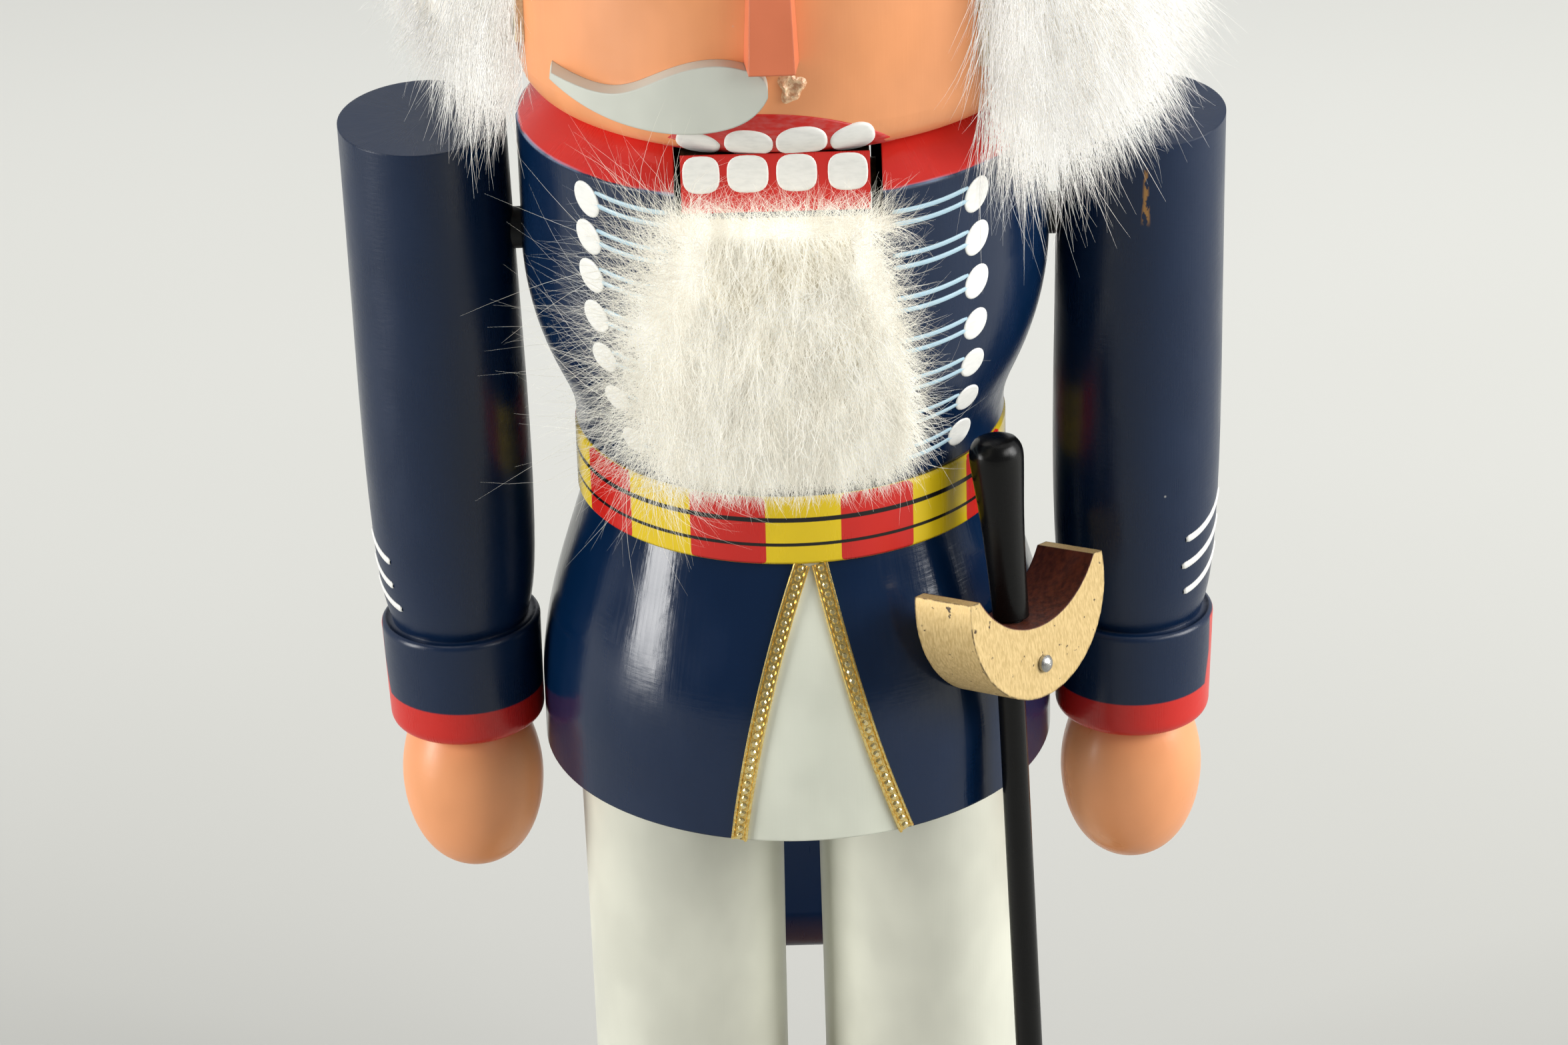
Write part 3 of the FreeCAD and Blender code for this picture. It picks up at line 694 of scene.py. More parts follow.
def sleeve_strokes(white):
    """Three short white strokes on the outer side of each sleeve, above the cuff, that rise as they go back."""
    rows = {1: [(34.0, 14.9), (31.5, 10.6), (35.0, 6.2)], -1: [(50.0, 12.2), (50.5, 8.2), (45.0, 4.6)]}
    rise = {1: 4.2, -1: 2.6}
    for name, side in (("left", 1), ("right", -1)):
        sleeve = Skin("arm_" + name)
        marks = Film(lambda u, v, h: sleeve.around(u * 5.2, v, h, arm_x(side, v)), 0.12)
        for near, height in rows[side]:
            low = CUFF_LOW[side] + 17.0 + height
            path = [(side * (near + (84.0 - near) * t) / 5.2, low + rise[side] * t ** 1.5)
                    for t in np.linspace(0, 1, 18)]
            marks.stroke(path, brush_widths(18, 1.05, 0.55, 0.2))
        marks.piece("sleeve_strokes_" + name, white, "figure", "white_lacquer")


def teeth_and_lips(white, red):
    """Four upper teeth and the red lip on the head's chin edge, four lower teeth on the jaw."""
    chin = Skin("head")
    jaw = Skin("jaw_lever")
    lip = Film(lambda u, v, h: chin_lay(chin, u, v, h), 0.05)
    upper = Film(lambda u, v, h: chin_lay(chin, u, v, h), 0.34)
    lower = Film(lambda u, v, h: jaw.in_front(u, v, h), 0.16)
    arc = [(-16.2 + 31.2 * t, 0.5 + 6.6 * (1 - (2 * t ** 0.85 - 1) ** 2) ** 0.62) for t in np.linspace(0, 1, 40)]
    base = [(15.0 - 31.2 * t, 0.3) for t in np.linspace(0, 1, 40)]
    lip.patch(arc + base[1:-1])
    for x, rise, wide, high, tilt in ((-11.4, 2.3, 3.1, 1.85, -14), (-4.65, 2.65, 3.4, 2.3, -3),
                                      (2.4, 2.85, 3.6, 2.5, 3), (9.2, 2.75, 3.15, 2.3, 16)):
        upper.patch(oval((x, rise), wide, high, tilt, count=40, square=2.4))
    for x, wide in ((-11.15, 2.55), (-4.9, 2.85), (1.65, 2.8), (8.5, 2.75)):
        lower.patch(oval((x, JAW_TOP - 2.9), wide, 2.75, 0, square=2.9))
    lip.piece("upper_lip", red, "figure", "flesh_lacquer")
    upper.piece("upper_teeth", white, "figure", "white_lacquer")
    lower.piece("lower_teeth", white, "jaw_lever", "white_lacquer")


def chin_lay(chin, x, rise, height):
    """Lays paint on the rounded chin edge; rise is counted up from the chin's flat underside."""
    z = CHIN_Z + max(rise, 0.25)
    return chin.in_front(x, z, height)


def eyes_and_brows(white, blue, black):
    """Plain painted eyes and brows."""
    face = Skin("head")
    lay = lambda u, v, h: face.in_front(u, v, h)
    balls, irises, pupils, glints, brows = (Film(lay, t) for t in (0.10, 0.16, 0.21, 0.26, 0.12))
    for side in (-1, 1):
        x, z = -1.3 + side * 12.5, CHIN_Z + 34.5
        balls.patch(oval((x, z), 4.6, 3.3))
        irises.patch(oval((x, z), 2.6, 2.7))
        pupils.patch(oval((x, z), 1.35, 1.4))
        glints.patch(oval((x - 0.9, z + 1.0), 0.5, 0.5))
        path = [(x + side * (-5.5 + 11.0 * t), z + 6.2 + 2.6 * math.sin(math.pi * (0.2 + 0.8 * t)))
                for t in np.linspace(0, 1, 18)]
        brows.stroke(path, brush_widths(18, 1.9, 0.3, 0.15))
    balls.piece("eye_whites", white, "figure", "white_lacquer")
    irises.piece("eye_irises", blue, "figure", "navy_lacquer")
    pupils.piece("eye_pupils", black, "figure", "black_lacquer")
    glints.piece("eye_glints", white, "figure", "white_lacquer")
    brows.piece("eyebrows", white, "figure", "white_lacquer")


# ---------------------------------------------------------------- braid
def braid_strip(centre_points, side_points, normals, closed=False):
    """A channel with two raised rims, and a row of faceted beads set in it."""
    rows = len(centre_points)
    profile = [(-1.15, -0.05), (-1.15, 0.45), (-1.0, 0.62), (-0.82, 0.62), (-0.62, 0.30), (0.62, 0.30),
               (0.82, 0.62), (1.0, 0.62), (1.15, 0.45), (1.15, -0.05)]
    points = []
    for centre, side, normal in zip(centre_points, side_points, normals):
        for across, lift in profile:
            points.append(centre + side * across + normal * lift)
    faces = grid_faces(rows, len(profile), closed=True)
    if closed:
        last = (rows - 1) * len(profile)
        for c in range(len(profile)):
            d = (c + 1) % len(profile)
            faces.append((last + c, last + d, d, c))
    else:
        faces.append(tuple(reversed(range(len(profile)))))
        faces.append(tuple(range((rows - 1) * len(profile), rows * len(profile))))
    return points, faces


def bead(centre, side, along, normal, radius, height):
    """An eight-sided cut bead: a sloping crown under a flat table."""
    rings = [(1.0, -0.1), (1.0, 0.35), (0.55, 1.0)]
    points = []
    for share, lift in rings:
        for i in range(8):
            angle = math.pi * (i + 0.5) / 4
            flat = side * math.cos(angle) + along * math.sin(angle)
            points.append(centre + flat * radius * share + normal * (0.28 + lift * height))
    faces = grid_faces(3, 8, closed=True)
    faces.append(tuple(range(16, 24)))
    faces.append(tuple(reversed(range(8))))
    return points, faces


def braid(name, path, normals, metal, bead_finish, closed=False):
    """A strip of braid along a path of points on a surface."""
    path = [Vector(p) for p in path]
    normals = [Vector(n).normalized() for n in normals]
    count = len(path)
    tangents = []
    for i in range(count):
        before = path[i - 1] if closed or i else path[0]
        after = path[(i + 1) % count] if closed or i + 1 < count else path[-1]
        tangents.append((after - before).normalized())
    sides = [t.cross(n).normalized() for t, n in zip(tangents, normals)]
    points, faces = braid_strip(path, sides, normals, closed)
    strip = mesh_piece(name, points, faces, metal, "figure", smooth=False)
    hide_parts(name)
    length = sum((path[i + 1] - path[i]).length for i in range(count - 1))
    if closed:
        length += (path[0] - path[-1]).length
    beads = max(1, round(length / 1.3))
    bead_points, bead_faces = [], []
    for k in range(beads):
        place = (k + 0.5) / beads * (count if closed else count - 1)
        i = int(place)
        j = (i + 1) % count
        share = place - i
        centre = path[i].lerp(path[j], share)
        normal = normals[i].lerp(normals[j], share).normalized()
        along = tangents[i]
        made, sheets = bead(centre, along.cross(normal).normalized(), along, normal, 0.55, 0.34)
        start = len(bead_points)
        bead_points += made
        bead_faces += [tuple(v + start for v in sheet) for sheet in sheets]
    mesh_piece(name + "_beads", bead_points, bead_faces, bead_finish, "figure", smooth=False)


def coat_braids(metal, bead_finish):
    skirt = Skin("coat_skirt")
    for name in ("coat_braid_right", "coat_braid_left"):
        low, high = (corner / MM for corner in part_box(name))
        downs = np.linspace(0, 1, 60)
        xs = [braid_x(name, down) for down in downs]
        zs = high.z + (low.z - high.z) * downs
        path, normals = [], []
        for x, z in zip(xs, zs):
            point, normal, _, _ = skirt.tree.ray_cast(Vector((x, -70, z)), Vector((0, 1, 0)))
            path.append(point)
            normals.append(normal)
        braid(name, path, normals, metal, bead_finish)


def hat_braid(metal, bead_finish):
    low, high = (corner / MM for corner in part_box("hat_braid"))
    radius, z = high.x - 0.9, (low.z + high.z) / 2
    turns = [2 * math.pi * i / 180 for i in range(180)]
    path = [(radius * math.cos(t), radius * math.sin(t), z) for t in turns]
    normals = [(math.cos(t), math.sin(t), 0) for t in turns]
    braid("hat_braid", path, normals, metal, bead_finish, closed=True)


# ---------------------------------------------------------------- fur
SEGMENTS = 8


def solid_push(points, gap):
    """Moves points out of the head, the upper body, the belt and the arms."""
    z = points[:, 2]
    chest = np.interp(z, [150, 165, 171, 177, 183, 191, RIM_Z, CHIN_Z - 0.1, CHIN_Z, CHIN_Z + 5, 276],
                      [33.0, 31.0, 31.5, 33.9, 36.1, 37.4, 37.4, 32.0, 34.5, HEAD_R, HEAD_R]) + gap
    push_out(points, chest)
    for side in (-1, 1):
        axis = arm_x(side, points[:, 2])
        away_x, away_y = points[:, 0] - axis, points[:, 1].copy()
        distance = np.hypot(away_x, away_y)
        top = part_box("arm_left" if side > 0 else "arm_right")[1].z / MM - 1.15
        top = top + away_y * math.tan(math.radians(5.5)) + gap
        inside = (distance < 12.2 + gap) & (points[:, 2] < top)
        near_top = inside & (top - points[:, 2] < 12.2 + gap - distance)
        points[near_top, 2] = top[near_top]
        beside = inside & ~near_top
        grow = (12.2 + gap) / np.maximum(distance, 1e-6)
        points[beside, 0] = (axis + away_x * grow)[beside]
        points[beside, 1] = (away_y * grow)[beside]
    points[:, 1] = np.maximum(points[:, 1], FUR_FRONT)
    return points


def push_out(points, least):
    """Moves points out to at least some distance from the figure's axis."""
    radius = np.hypot(points[:, 0], points[:, 1])
    points[:, :2] *= np.where(radius < least, least / np.maximum(radius, 1e-6), 1.0)[:, None]


def loose_push(points, gap):
    """As solid_push, with room for the jaw to drop: the beard's loose hairs then slide down the chest, and tip
    back towards the jaw as far as the beard's hinge lets them."""
    push_out(points, np.interp(points[:, 2], [190, 205, 230], [37.4, 38.3, 38.8]))
    over_jaw = (points[:, 0] > JAW_RIGHT - 1) & (points[:, 0] < JAW_LEFT + 1)
    rise = np.maximum(points[:, 2] - BEARD_HINGE.z, 0)
    clear = BEARD_HINGE.y + 0.5 - BEARD_SWING * rise
    points[:, 1] = np.where(over_jaw, np.minimum(points[:, 1], clear), points[:, 1])
    return solid_push(points, gap)


def fibres(name, roots, directions, lengths, radius, droop, wave, random, material, body, shadow=False,
           push=solid_push):
    """Thin tapered tubes that leave their roots, droop and wave, and slide off the solids they meet. Real fur lets
    most light through, so only some of the pieces made here cast a shadow."""
    count = len(roots)
    step = lengths[:, None] / SEGMENTS
    place = roots.copy()
    heading = directions / np.linalg.norm(directions, axis=1)[:, None]
    bend = random.normal(0, wave, (count, 3))
    line_points = [place.copy()]
    for s in range(SEGMENTS):
        heading = heading + np.array([0, 0, -1.0]) * droop[:, None] + bend * (0.4 + s / SEGMENTS)
        heading /= np.linalg.norm(heading, axis=1)[:, None]
        place = push(place + heading * step, 0.25)
        line_points.append(place.copy())
    path = np.stack(line_points, 1)
    main = path[:, -1] - path[:, 0]
    main /= np.linalg.norm(main, axis=1)[:, None] + 1e-9
    helper = np.where(np.abs(main[:, 2:3]) < 0.9, [[0, 0, 1.0]], [[1.0, 0, 0]])
    first = np.cross(main, helper)
    first /= np.linalg.norm(first, axis=1)[:, None]
    second = np.cross(main, first)
    taper = np.concatenate([np.linspace(0.85, 1.0, 3), np.linspace(0.97, 0.12, SEGMENTS - 2)])
    thick = radius[:, None, None, None] * taper[None, :, None, None]
    angles = np.array([0, 2 * math.pi / 3, 4 * math.pi / 3])
    ring = (first[:, None, None] * np.cos(angles)[None, None, :, None]
            + second[:, None, None] * np.sin(angles)[None, None, :, None])
    points = (path[:, :, None] + ring * thick).reshape(-1, 3)
    sides = []
    for s in range(SEGMENTS):
        for c in range(3):
            d = (c + 1) % 3
            sides.append((s * 3 + c, s * 3 + d, s * 3 + 3 + d, s * 3 + 3 + c))
    per_fibre = (SEGMENTS + 1) * 3
    starts = np.arange(count) * per_fibre
    quads = (starts[:, None, None] + np.array(sides)[None]).reshape(-1, 4)
    caps = [(2, 1, 0), tuple(range(per_fibre - 3, per_fibre))]
    triangles = (starts[:, None, None] + np.array(caps)[None]).reshape(-1, 3)
    piece = fast_piece(name, points * MM, quads, triangles, material, body)
    piece.visible_shadow = shadow


def fast_piece(name, points, quads, triangles, material, body):
    """A piece from arrays, for meshes of many thousand faces."""
    mesh = bpy.data.meshes.new(name)
    mesh.vertices.add(len(points))
    mesh.vertices.foreach_set("co", points.astype(np.float32).ravel())
    corners = np.concatenate([quads.ravel(), triangles.ravel()])
    sizes = np.concatenate([np.full(len(quads), 4), np.full(len(triangles), 3)])
    mesh.loops.add(len(corners))
    mesh.loops.foreach_set("vertex_index", corners.astype(np.int32))
    mesh.polygons.add(len(sizes))
    mesh.polygons.foreach_set("loop_start", (np.cumsum(sizes) - sizes).astype(np.int32))
    mesh.polygons.foreach_set("use_smooth", np.ones(len(sizes), bool))
    mesh.update(calc_edges=True)
    mesh.materials.append(material)
    piece = bpy.data.objects.new(name, mesh)
    bpy.context.scene.collection.objects.link(piece)
    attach(piece, body)
    return piece


def clumped(random, roots, directions, clumps, pull):
    """Bends directions towards those of a few leaders, so that fibres gather in locks."""
    leaders = random.integers(0, len(roots), clumps)
    spread = directions[leaders] + random.normal(0, 0.22, (clumps, 3))
    nearest = np.zeros(len(roots), int)
    for start in range(0, len(roots), 2000):
        part = roots[start:start + 2000]
        gaps = ((part[:, None] - roots[leaders][None]) ** 2).sum(2)
        nearest[start:start + 2000] = gaps.argmin(1)
    return directions * (1 - pull) + spread[nearest] * pull


HAIR_LEFT_EDGE = 46.0
HAIR_RIGHT_EDGE = 288.0
HAIR_OVER_LEVER = 220.0          # the hair ends here behind the neck, where the opened lever's tail rises
HAIR_SECTION = [(37.9, 219.5), (43.5, 216.5), (49.0, 218.5), (52.0, 226.0), (52.5, 238.0), (48.5, 252.0), (41.0, 265.0),
                (37.9, 268.0)]


def smooth_section(points, count):
    """Points evenly spaced along a smooth line through a few."""
    points = np.array(points, float)
    steps = np.linalg.norm(np.diff(points, axis=0), axis=1)
    at = np.concatenate([[0], np.cumsum(steps)])
    share = np.linspace(0, at[-1], count)
    line_through = np.stack([np.interp(share, at, points[:, i]) for i in (0, 1)], 1)
    for _ in range(3):
        line_through[1:-1] = (line_through[:-2] + line_through[1:-1] * 2 + line_through[2:]) / 4
    return line_through


def lumps(random, count, *axes):
    """Smooth random waves over a surface, from -1 to 1 or so."""
    total = 0.0
    for _ in range(count):
        phase = random.uniform(0, 2 * math.pi)
        for axis in axes:
            phase = phase + axis * random.uniform(-1, 1)
        total = total + np.sin(phase)
    return total / math.sqrt(count)


def hair_mass(random):
    """The thick of the hair as a grid of points: round the head by rows, down its section by columns."""
    turns = np.radians(np.linspace(HAIR_LEFT_EDGE + 1.5, HAIR_RIGHT_EDGE - 1.5, 150))
    section = smooth_section(HAIR_SECTION, 34)
    turn, r = np.meshgrid(turns, section[:, 0], indexing="ij")
    z = np.meshgrid(turns, section[:, 1], indexing="ij")[1]
    share = np.linspace(0, 1, len(turns))[:, None]
    ends = np.clip(np.minimum(share, 1 - share) / 0.05, 0, 1) ** 0.5
    swell = 1.0 * lumps(random, 9, turn * 26, z * 0.5)
    out = (r - 37.9) * (0.25 + 0.75 * ends)
    out = np.where(r > 38.5, np.maximum(out + swell * ends, 0.4), out)
    middle = 240.0
    z = middle + (z - middle) * (0.72 + 0.28 * ends)
    z = z + (2.6 - 1.8 * np.sin(turn)) * np.clip((middle - z) / 20, 0, 1)
    radius = 37.9 + out
    return np.stack([np.sin(turn) * radius, -np.cos(turn) * radius, z], 2)


def closed_mass(grid):
    """Faces for a grid whose columns close on themselves, with both ends filled."""
    rows, columns = grid.shape[:2]
    faces = grid_faces(rows, columns, closed=True)
    faces.append(tuple(reversed(range(columns))))
    faces.append(tuple(range((rows - 1) * columns, rows * columns)))
    return [tuple(reversed(f)) for f in faces]


def roots_on(grid, normals, random, count, weight):
    """Random points on a grid surface, more where weight is larger, with the surface's normals there."""
    rows, columns = grid.shape[:2]
    a, b = grid[:-1, :-1], grid[1:, 1:]
    area = np.linalg.norm(np.cross(grid[1:, :-1] - a, grid[:-1, 1:] - a), axis=2) * weight[:-1, :-1]
    chance = (area / area.sum()).ravel()
    cell = random.choice(len(chance), count, p=chance)
    r, c = cell // (columns - 1), cell % (columns - 1)
    u, v = random.random((2, count, 1))
    def at(field):
        return ((1 - u) * (1 - v) * field[r, c] + u * (1 - v) * field[r + 1, c]
                + (1 - u) * v * field[r, c + 1] + u * v * field[r + 1, c + 1])
    return at(grid), at(normals)


def grid_normals(grid, inside):
    """Unit normals of a grid surface, all pointing away from the inside point of their row."""
    along_r = np.gradient(grid, axis=0)
    along_c = np.gradient(grid, axis=1)
    normals = np.cross(along_r, along_c)
    normals /= np.linalg.norm(normals, axis=2)[:, :, None] + 1e-9
    flip = np.sign(((grid - inside) * normals).sum(2))[:, :, None]
    return normals * np.where(flip == 0, 1, flip)


def make_hair(material, shaded_thick_material):
    """White fur round the sides and back of the head: a thick mass, coloured darker than the fibres as painted shade
    between the hairs, and fibres that comb out and down from it.
    """
    random = np.random.default_rng(11)
    grid = hair_mass(random)
    mass = mesh_piece("hair_mass", grid.reshape(-1, 3), closed_mass(grid), shaded_thick_material, "figure")
    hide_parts("hair_fur")
    around = grid / np.linalg.norm(grid[:, :, :2], axis=2)[:, :, None]
    inside = np.stack([around[:, :, 0] * 43, around[:, :, 1] * 43, grid[:, :, 2] * 0 + 238], 2)
    normals = grid_normals(grid, inside)
    weight = np.where(grid[:, :, 2] < 262, 1.0, 0.7) * np.where(np.hypot(grid[:, :, 0], grid[:, :, 1]) > 38.4, 1.0, 0.0)
    share = 1.0
    thick = 1.0
    for part in range(8):
        count = int(3900 * share)
        roots, out = roots_on(grid, normals, random, count, weight)
        down = np.array([0, 0, -1.0])
        radial = roots / np.linalg.norm(roots[:, :2], axis=1)[:, None] * np.array([1, 1, 0])
        directions = out * 0.45 + radial * 0.35 + down * random.uniform(0.35, 1.0, (count, 1))
        directions += random.normal(0, 0.2, (count, 3))
        directions = clumped(random, roots, directions, max(20, count // 22), 0.55)
        lengths = random.uniform(8, 15, count) * np.where(random.random(count) < 0.08, 1.35, 1.0)
        lengths *= 0.78 + 0.17 * np.sign(roots[:, 0])
        over_lever = (roots[:, 1] > 25) & (roots[:, 0] > JAW_RIGHT - 5) & (roots[:, 0] < JAW_LEFT + 5)
        room = np.maximum(roots[:, 2] - HAIR_OVER_LEVER, 1.0)
        lengths = np.where(over_lever, np.minimum(lengths, room), lengths)
        radius = random.uniform(0.03, 0.065, count) * thick
        droop = random.uniform(0.02, 0.12, count)
        fibres(f"hair_fibres_{part + 1}", roots - out * 1.5, directions, lengths, radius, droop, 0.035, random,
               material, "figure", part % 3 == 0)
    make_locks(material, share, thick)


def make_locks(material, share, thick):
    """Long guard hairs at the front ends of the hair, that sweep down over the cheeks and the collar."""
    random = np.random.default_rng(31)
    for name, first, last, count, size in (("left", 44.0, 74.0, 3900, 1.0), ("right", -67.0, -95.0, 3000, 0.66)):
        count = int(count * share)
        turn = np.radians(first + (last - first) * random.beta(1.1, 1.5, count))
        radius_at = 37.6 + 10.0 * random.beta(1.2, 1.6, count)
        z = 221.0 + 42.0 * random.beta(1.0, 1.3, count)
        radial = np.stack([np.sin(turn), -np.cos(turn), 0 * turn], 1)
        forward = np.stack([np.cos(turn), np.sin(turn), 0 * turn], 1) * -np.sign(first)
        roots = radial * radius_at[:, None] + np.array([0, 0, 1.0]) * z[:, None]
        stray = np.where(random.random((count, 1)) < 0.2, 2.2, 1.0)
        directions = forward * stray * random.uniform(-0.1, 0.5, (count, 1)) + radial * random.uniform(0.05, 0.55, (count, 1))
        directions += np.array([0, 0, -1.0]) * random.uniform(0.6, 1.3, (count, 1))
        directions += random.normal(0, 0.13, (count, 3))
        directions = clumped(random, roots, directions, max(20, count // 18), 0.5)
        lengths = size * random.uniform(10, 19, count) * np.where(random.random(count) < 0.12, 1.4, 1.0)
        radius = random.uniform(0.03, 0.065, count) * thick
        fibres(f"hair_locks_{name}", roots, directions, lengths, radius, random.uniform(0.02, 0.12, count), 0.035,
               random, material, "figure")


BEARD_ROWS = [  # height, from side to side, how far the middle stands out
    (209.2, -13.2, 11.0, 0.5), (205.0, -13.6, 11.4, 2.0), (200.0, -14.6, 12.6, 4.0), (193.0, -15.8, 14.0, 5.6),
    (186.0, -16.6, 15.0, 6.2), (180.5, -15.8, 14.6, 5.0), (177.0, -13.0, 12.6, 3.4), (175.6, -10.0, 10.0, 2.4)]
BEARD_END = 172.0


def beard_mass(random):
    """The thick of the beard: rows go down, columns go round each row's cushion-shaped section."""
    rows, columns = 60, 44
    table = np.array(BEARD_ROWS)
    z = np.linspace(table[0, 0], table[-1, 0], rows)
    low, high, stand = [np.interp(-z, -table[:, 0], table[:, i]) for i in (1, 2, 3)]
    angle = np.linspace(0, 2 * math.pi, columns, endpoint=False)[None]
    middle, half = ((low + high) / 2)[:, None], ((high - low) / 2)[:, None]
    c, s = np.cos(angle), np.sin(angle)
    x = middle + half * np.sign(c) * np.abs(c) ** 0.75
    back = np.interp(-z, [-209, -201, -200, -165], [LEATHER_FRONT - 0.15, LEATHER_FRONT - 0.15, -38.1, -38.1])[:, None]
    base = np.interp(-z, [-209, -190, -165], [LEATHER_FRONT - 0.15, -38.1, -38.1])[:, None]
    y = np.where(s > 0, base - np.maximum(s, 0) ** 0.8 * stand[:, None], back)
    swell = 0.7 * lumps(random, 9, x * 0.45, z[:, None] * 0.3) * np.minimum(1, stand[:, None] / 3) * (s > 0.1)
    return np.stack([x, y - swell - 0.25 * (s > 0), np.broadcast_to(z[:, None], x.shape)], 2)


def make_beard(material, shaded_thick_material):
    """Cream fur that lies flat and hangs from the jaw: a thick mass, coloured darker than the fibres as painted shade
    between the hairs, combed fibres and crossing wisps at its sides.
    """
    random = np.random.default_rng(23)
    grid = beard_mass(random)
    mass = mesh_piece("beard_mass", grid.reshape(-1, 3), closed_mass(grid), shaded_thick_material, "beard")
    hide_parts("beard_fur")
    columns = grid.shape[1]
    front = grid[:, :columns // 2 + 1]
    inside = front * np.array([0.55, 0, 1]) + np.array([0, -37.5, 0])
    normals = grid_normals(front, inside)
    share = 1.0
    thick = 1.0
    even = np.ones(front.shape[:2])
    for part in range(5):
        count = int(3900 * share)
        roots, out = roots_on(front, normals, random, count, even)
        side = roots[:, 0] / 16.0
        directions = np.stack([side * random.uniform(0.0, 0.6, count), -random.uniform(0.1, 0.7, count),
                               -random.uniform(0.5, 1.1, count)], 1) + random.normal(0, 0.3, (count, 3))
        directions = clumped(random, roots, directions, max(20, count // 14), 0.4)
        lengths = random.uniform(4.5, 10, count) * np.where(random.random(count) < 0.1, 1.4, 1.0)
        room = np.maximum(roots[:, 2] - BEARD_END, 1.0) + random.uniform(0, 4, count)
        lengths = np.minimum(lengths, room)
        radius = random.uniform(0.032, 0.066, count) * thick
        droop = random.uniform(0.0, 0.1, count)
        fibres(f"beard_fibres_{part + 1}", roots - out * 0.5, directions, lengths, radius, droop, 0.11, random,
               material, "beard", part % 3 == 0)
    make_wisps(material, random, share, thick)


def make_wisps(material, random, share, thick):
    """Loose curled hairs that cross in front of the chest on either side of the beard."""
    for name, side, count, reach in (("right", -1, 3900, 22.0), ("left", 1, 2600, 11.0)):
        count = int(count * share)
        z = 208.8 - 34.0 * random.beta(1.2, 1.3, count)
        edge = np.interp(-z, [-209, -199, -182, -170], [12.0, 14.0, 16.0, 13.0]) - 2.5
        roots = np.stack([side * edge - 1.0, -random.uniform(38.6, 42.0, count), z], 1)
        directions = np.stack([side * random.uniform(0.35, 1.0, count), random.uniform(-0.35, 0.4, count),
                               random.uniform(-0.9, 0.75, count)], 1)
        lengths = reach * random.uniform(0.25, 1.1, count) * np.clip((z - 168) / 14, 0.4, 1)
        lengths *= np.where(random.random(count) < 0.1, 1.4, 1.0)
        radius = random.uniform(0.022, 0.042, count) * thick
        fibres(f"beard_wisps_{name}", roots, directions, lengths, radius, random.uniform(-0.05, 0.1, count), 0.4,
               random, material, "beard", push=loose_push)
    count = int(2800 * share)
    roots = np.stack([random.uniform(-14.5, 12.5, count), np.full(count, LEATHER_FRONT - 0.2),
                      random.uniform(207.6, 209.1, count)], 1)
    directions = np.stack([random.uniform(-1.1, 1.1, count) + roots[:, 0] / 16, -random.uniform(0.15, 0.7, count),
                           random.uniform(0.0, 1.3, count)], 1)
    fibres("beard_wisps_top", roots, directions, random.uniform(3.0, 10.5, count), random.uniform(0.02, 0.034, count)
           * thick, np.zeros(count), 0.22, random, material, "beard", push=loose_push)


def glue_scar():
    """The dried glue where the lost half of the moustache was: a low crumbly ring beside the nose."""
    random = np.random.default_rng(5)
    face = Skin("head")
    paint = Paint("dried_glue")
    crumbs = paint.noise(0.5, (1, 1, 1), 4.0)
    colour = paint.mix(paint.ramp(crumbs, 0.35, 0.65), srgb(250, 216, 174), srgb(214, 158, 116))
    paint.bump(crumbs, 0.25)
    material = paint.finish(colour, 0.3, Coat_Weight=0.4)
    points, faces = [], []
    rings, around = 7, 36
    for ring in range(rings):
        share = ring / (rings - 1)
        for k in range(around):
            angle = 2 * math.pi * k / around
            reach = (1.75 + 0.28 * math.sin(3 * angle + 1) + 0.2 * math.sin(5 * angle)) * (1 - share * 0.94)
            height = 0.42 * math.exp(-((share - 0.38) / 0.2) ** 2) + 0.10 * (share > 0.1)
            height += 0.09 * random.random() * (0 < ring < rings - 1)
            points.append(face.in_front(1.2 + reach * math.cos(angle), 228.9 + 1.25 * reach * math.sin(angle),
                                        height - 0.04))
    faces = grid_faces(rings, around, closed=True)
    faces.append(tuple(range((rings - 1) * around, rings * around)))
    mesh_piece("glue_scar", points, faces, material, "figure")


# ---------------------------------------------------------------- floor, light and camera
def make_stage():
    size = 6.0
    mesh = bpy.data.meshes.new("floor")
    mesh.from_pydata([(-size, -size, 0), (size, -size, 0), (size, size, 0), (-size, size, 0)], [], [(0, 1, 2, 3)])
    floor = bpy.data.objects.new("floor", mesh)
    paint = Paint("floor_paper")
    mottle = paint.noise(180.0, (1, 1, 1), 1.0)
    pale = paint.mix(mottle, srgb(236, 236, 231), srgb(231, 231, 225))
    # darker towards the camera: painted shade on the paper, standing in for the light that falls off in front of the
    # figure
    colour = paint.shaded(pale, paint.ramp(paint.y, -230.0, 620.0, 0.46, 0.92))
    mesh.materials.append(paint.finish(colour, 0.9, Specular_IOR_Level=0.1))
    bpy.context.scene.collection.objects.link(floor)
    make_world()


def make_world():
    """A pale room behind the figure and a dim one in front of it, where the camera stands."""
    world = bpy.data.worlds.new("studio")
    world.use_nodes = True
    tree = world.node_tree
    place = tree.nodes.new("ShaderNodeTexCoord")
    split = tree.nodes.new("ShaderNodeSeparateXYZ")
    level = tree.nodes.new("ShaderNodeMapRange")
    level.interpolation_type = "SMOOTHSTEP"
    for name, value in (("From Min", -0.5), ("From Max", 0.6), ("To Min", 0.16), ("To Max", 0.62)):
        level.inputs[name].default_value = value
    tree.links.new(place.outputs["Generated"], split.inputs[0])
    tree.links.new(split.outputs["Y"], level.inputs["Value"])
    tree.links.new(level.outputs[0], tree.nodes["Background"].inputs["Strength"])
    tree.nodes["Background"].inputs["Color"].default_value = (0.97, 0.985, 1.0, 1)
    bpy.context.scene.world = world


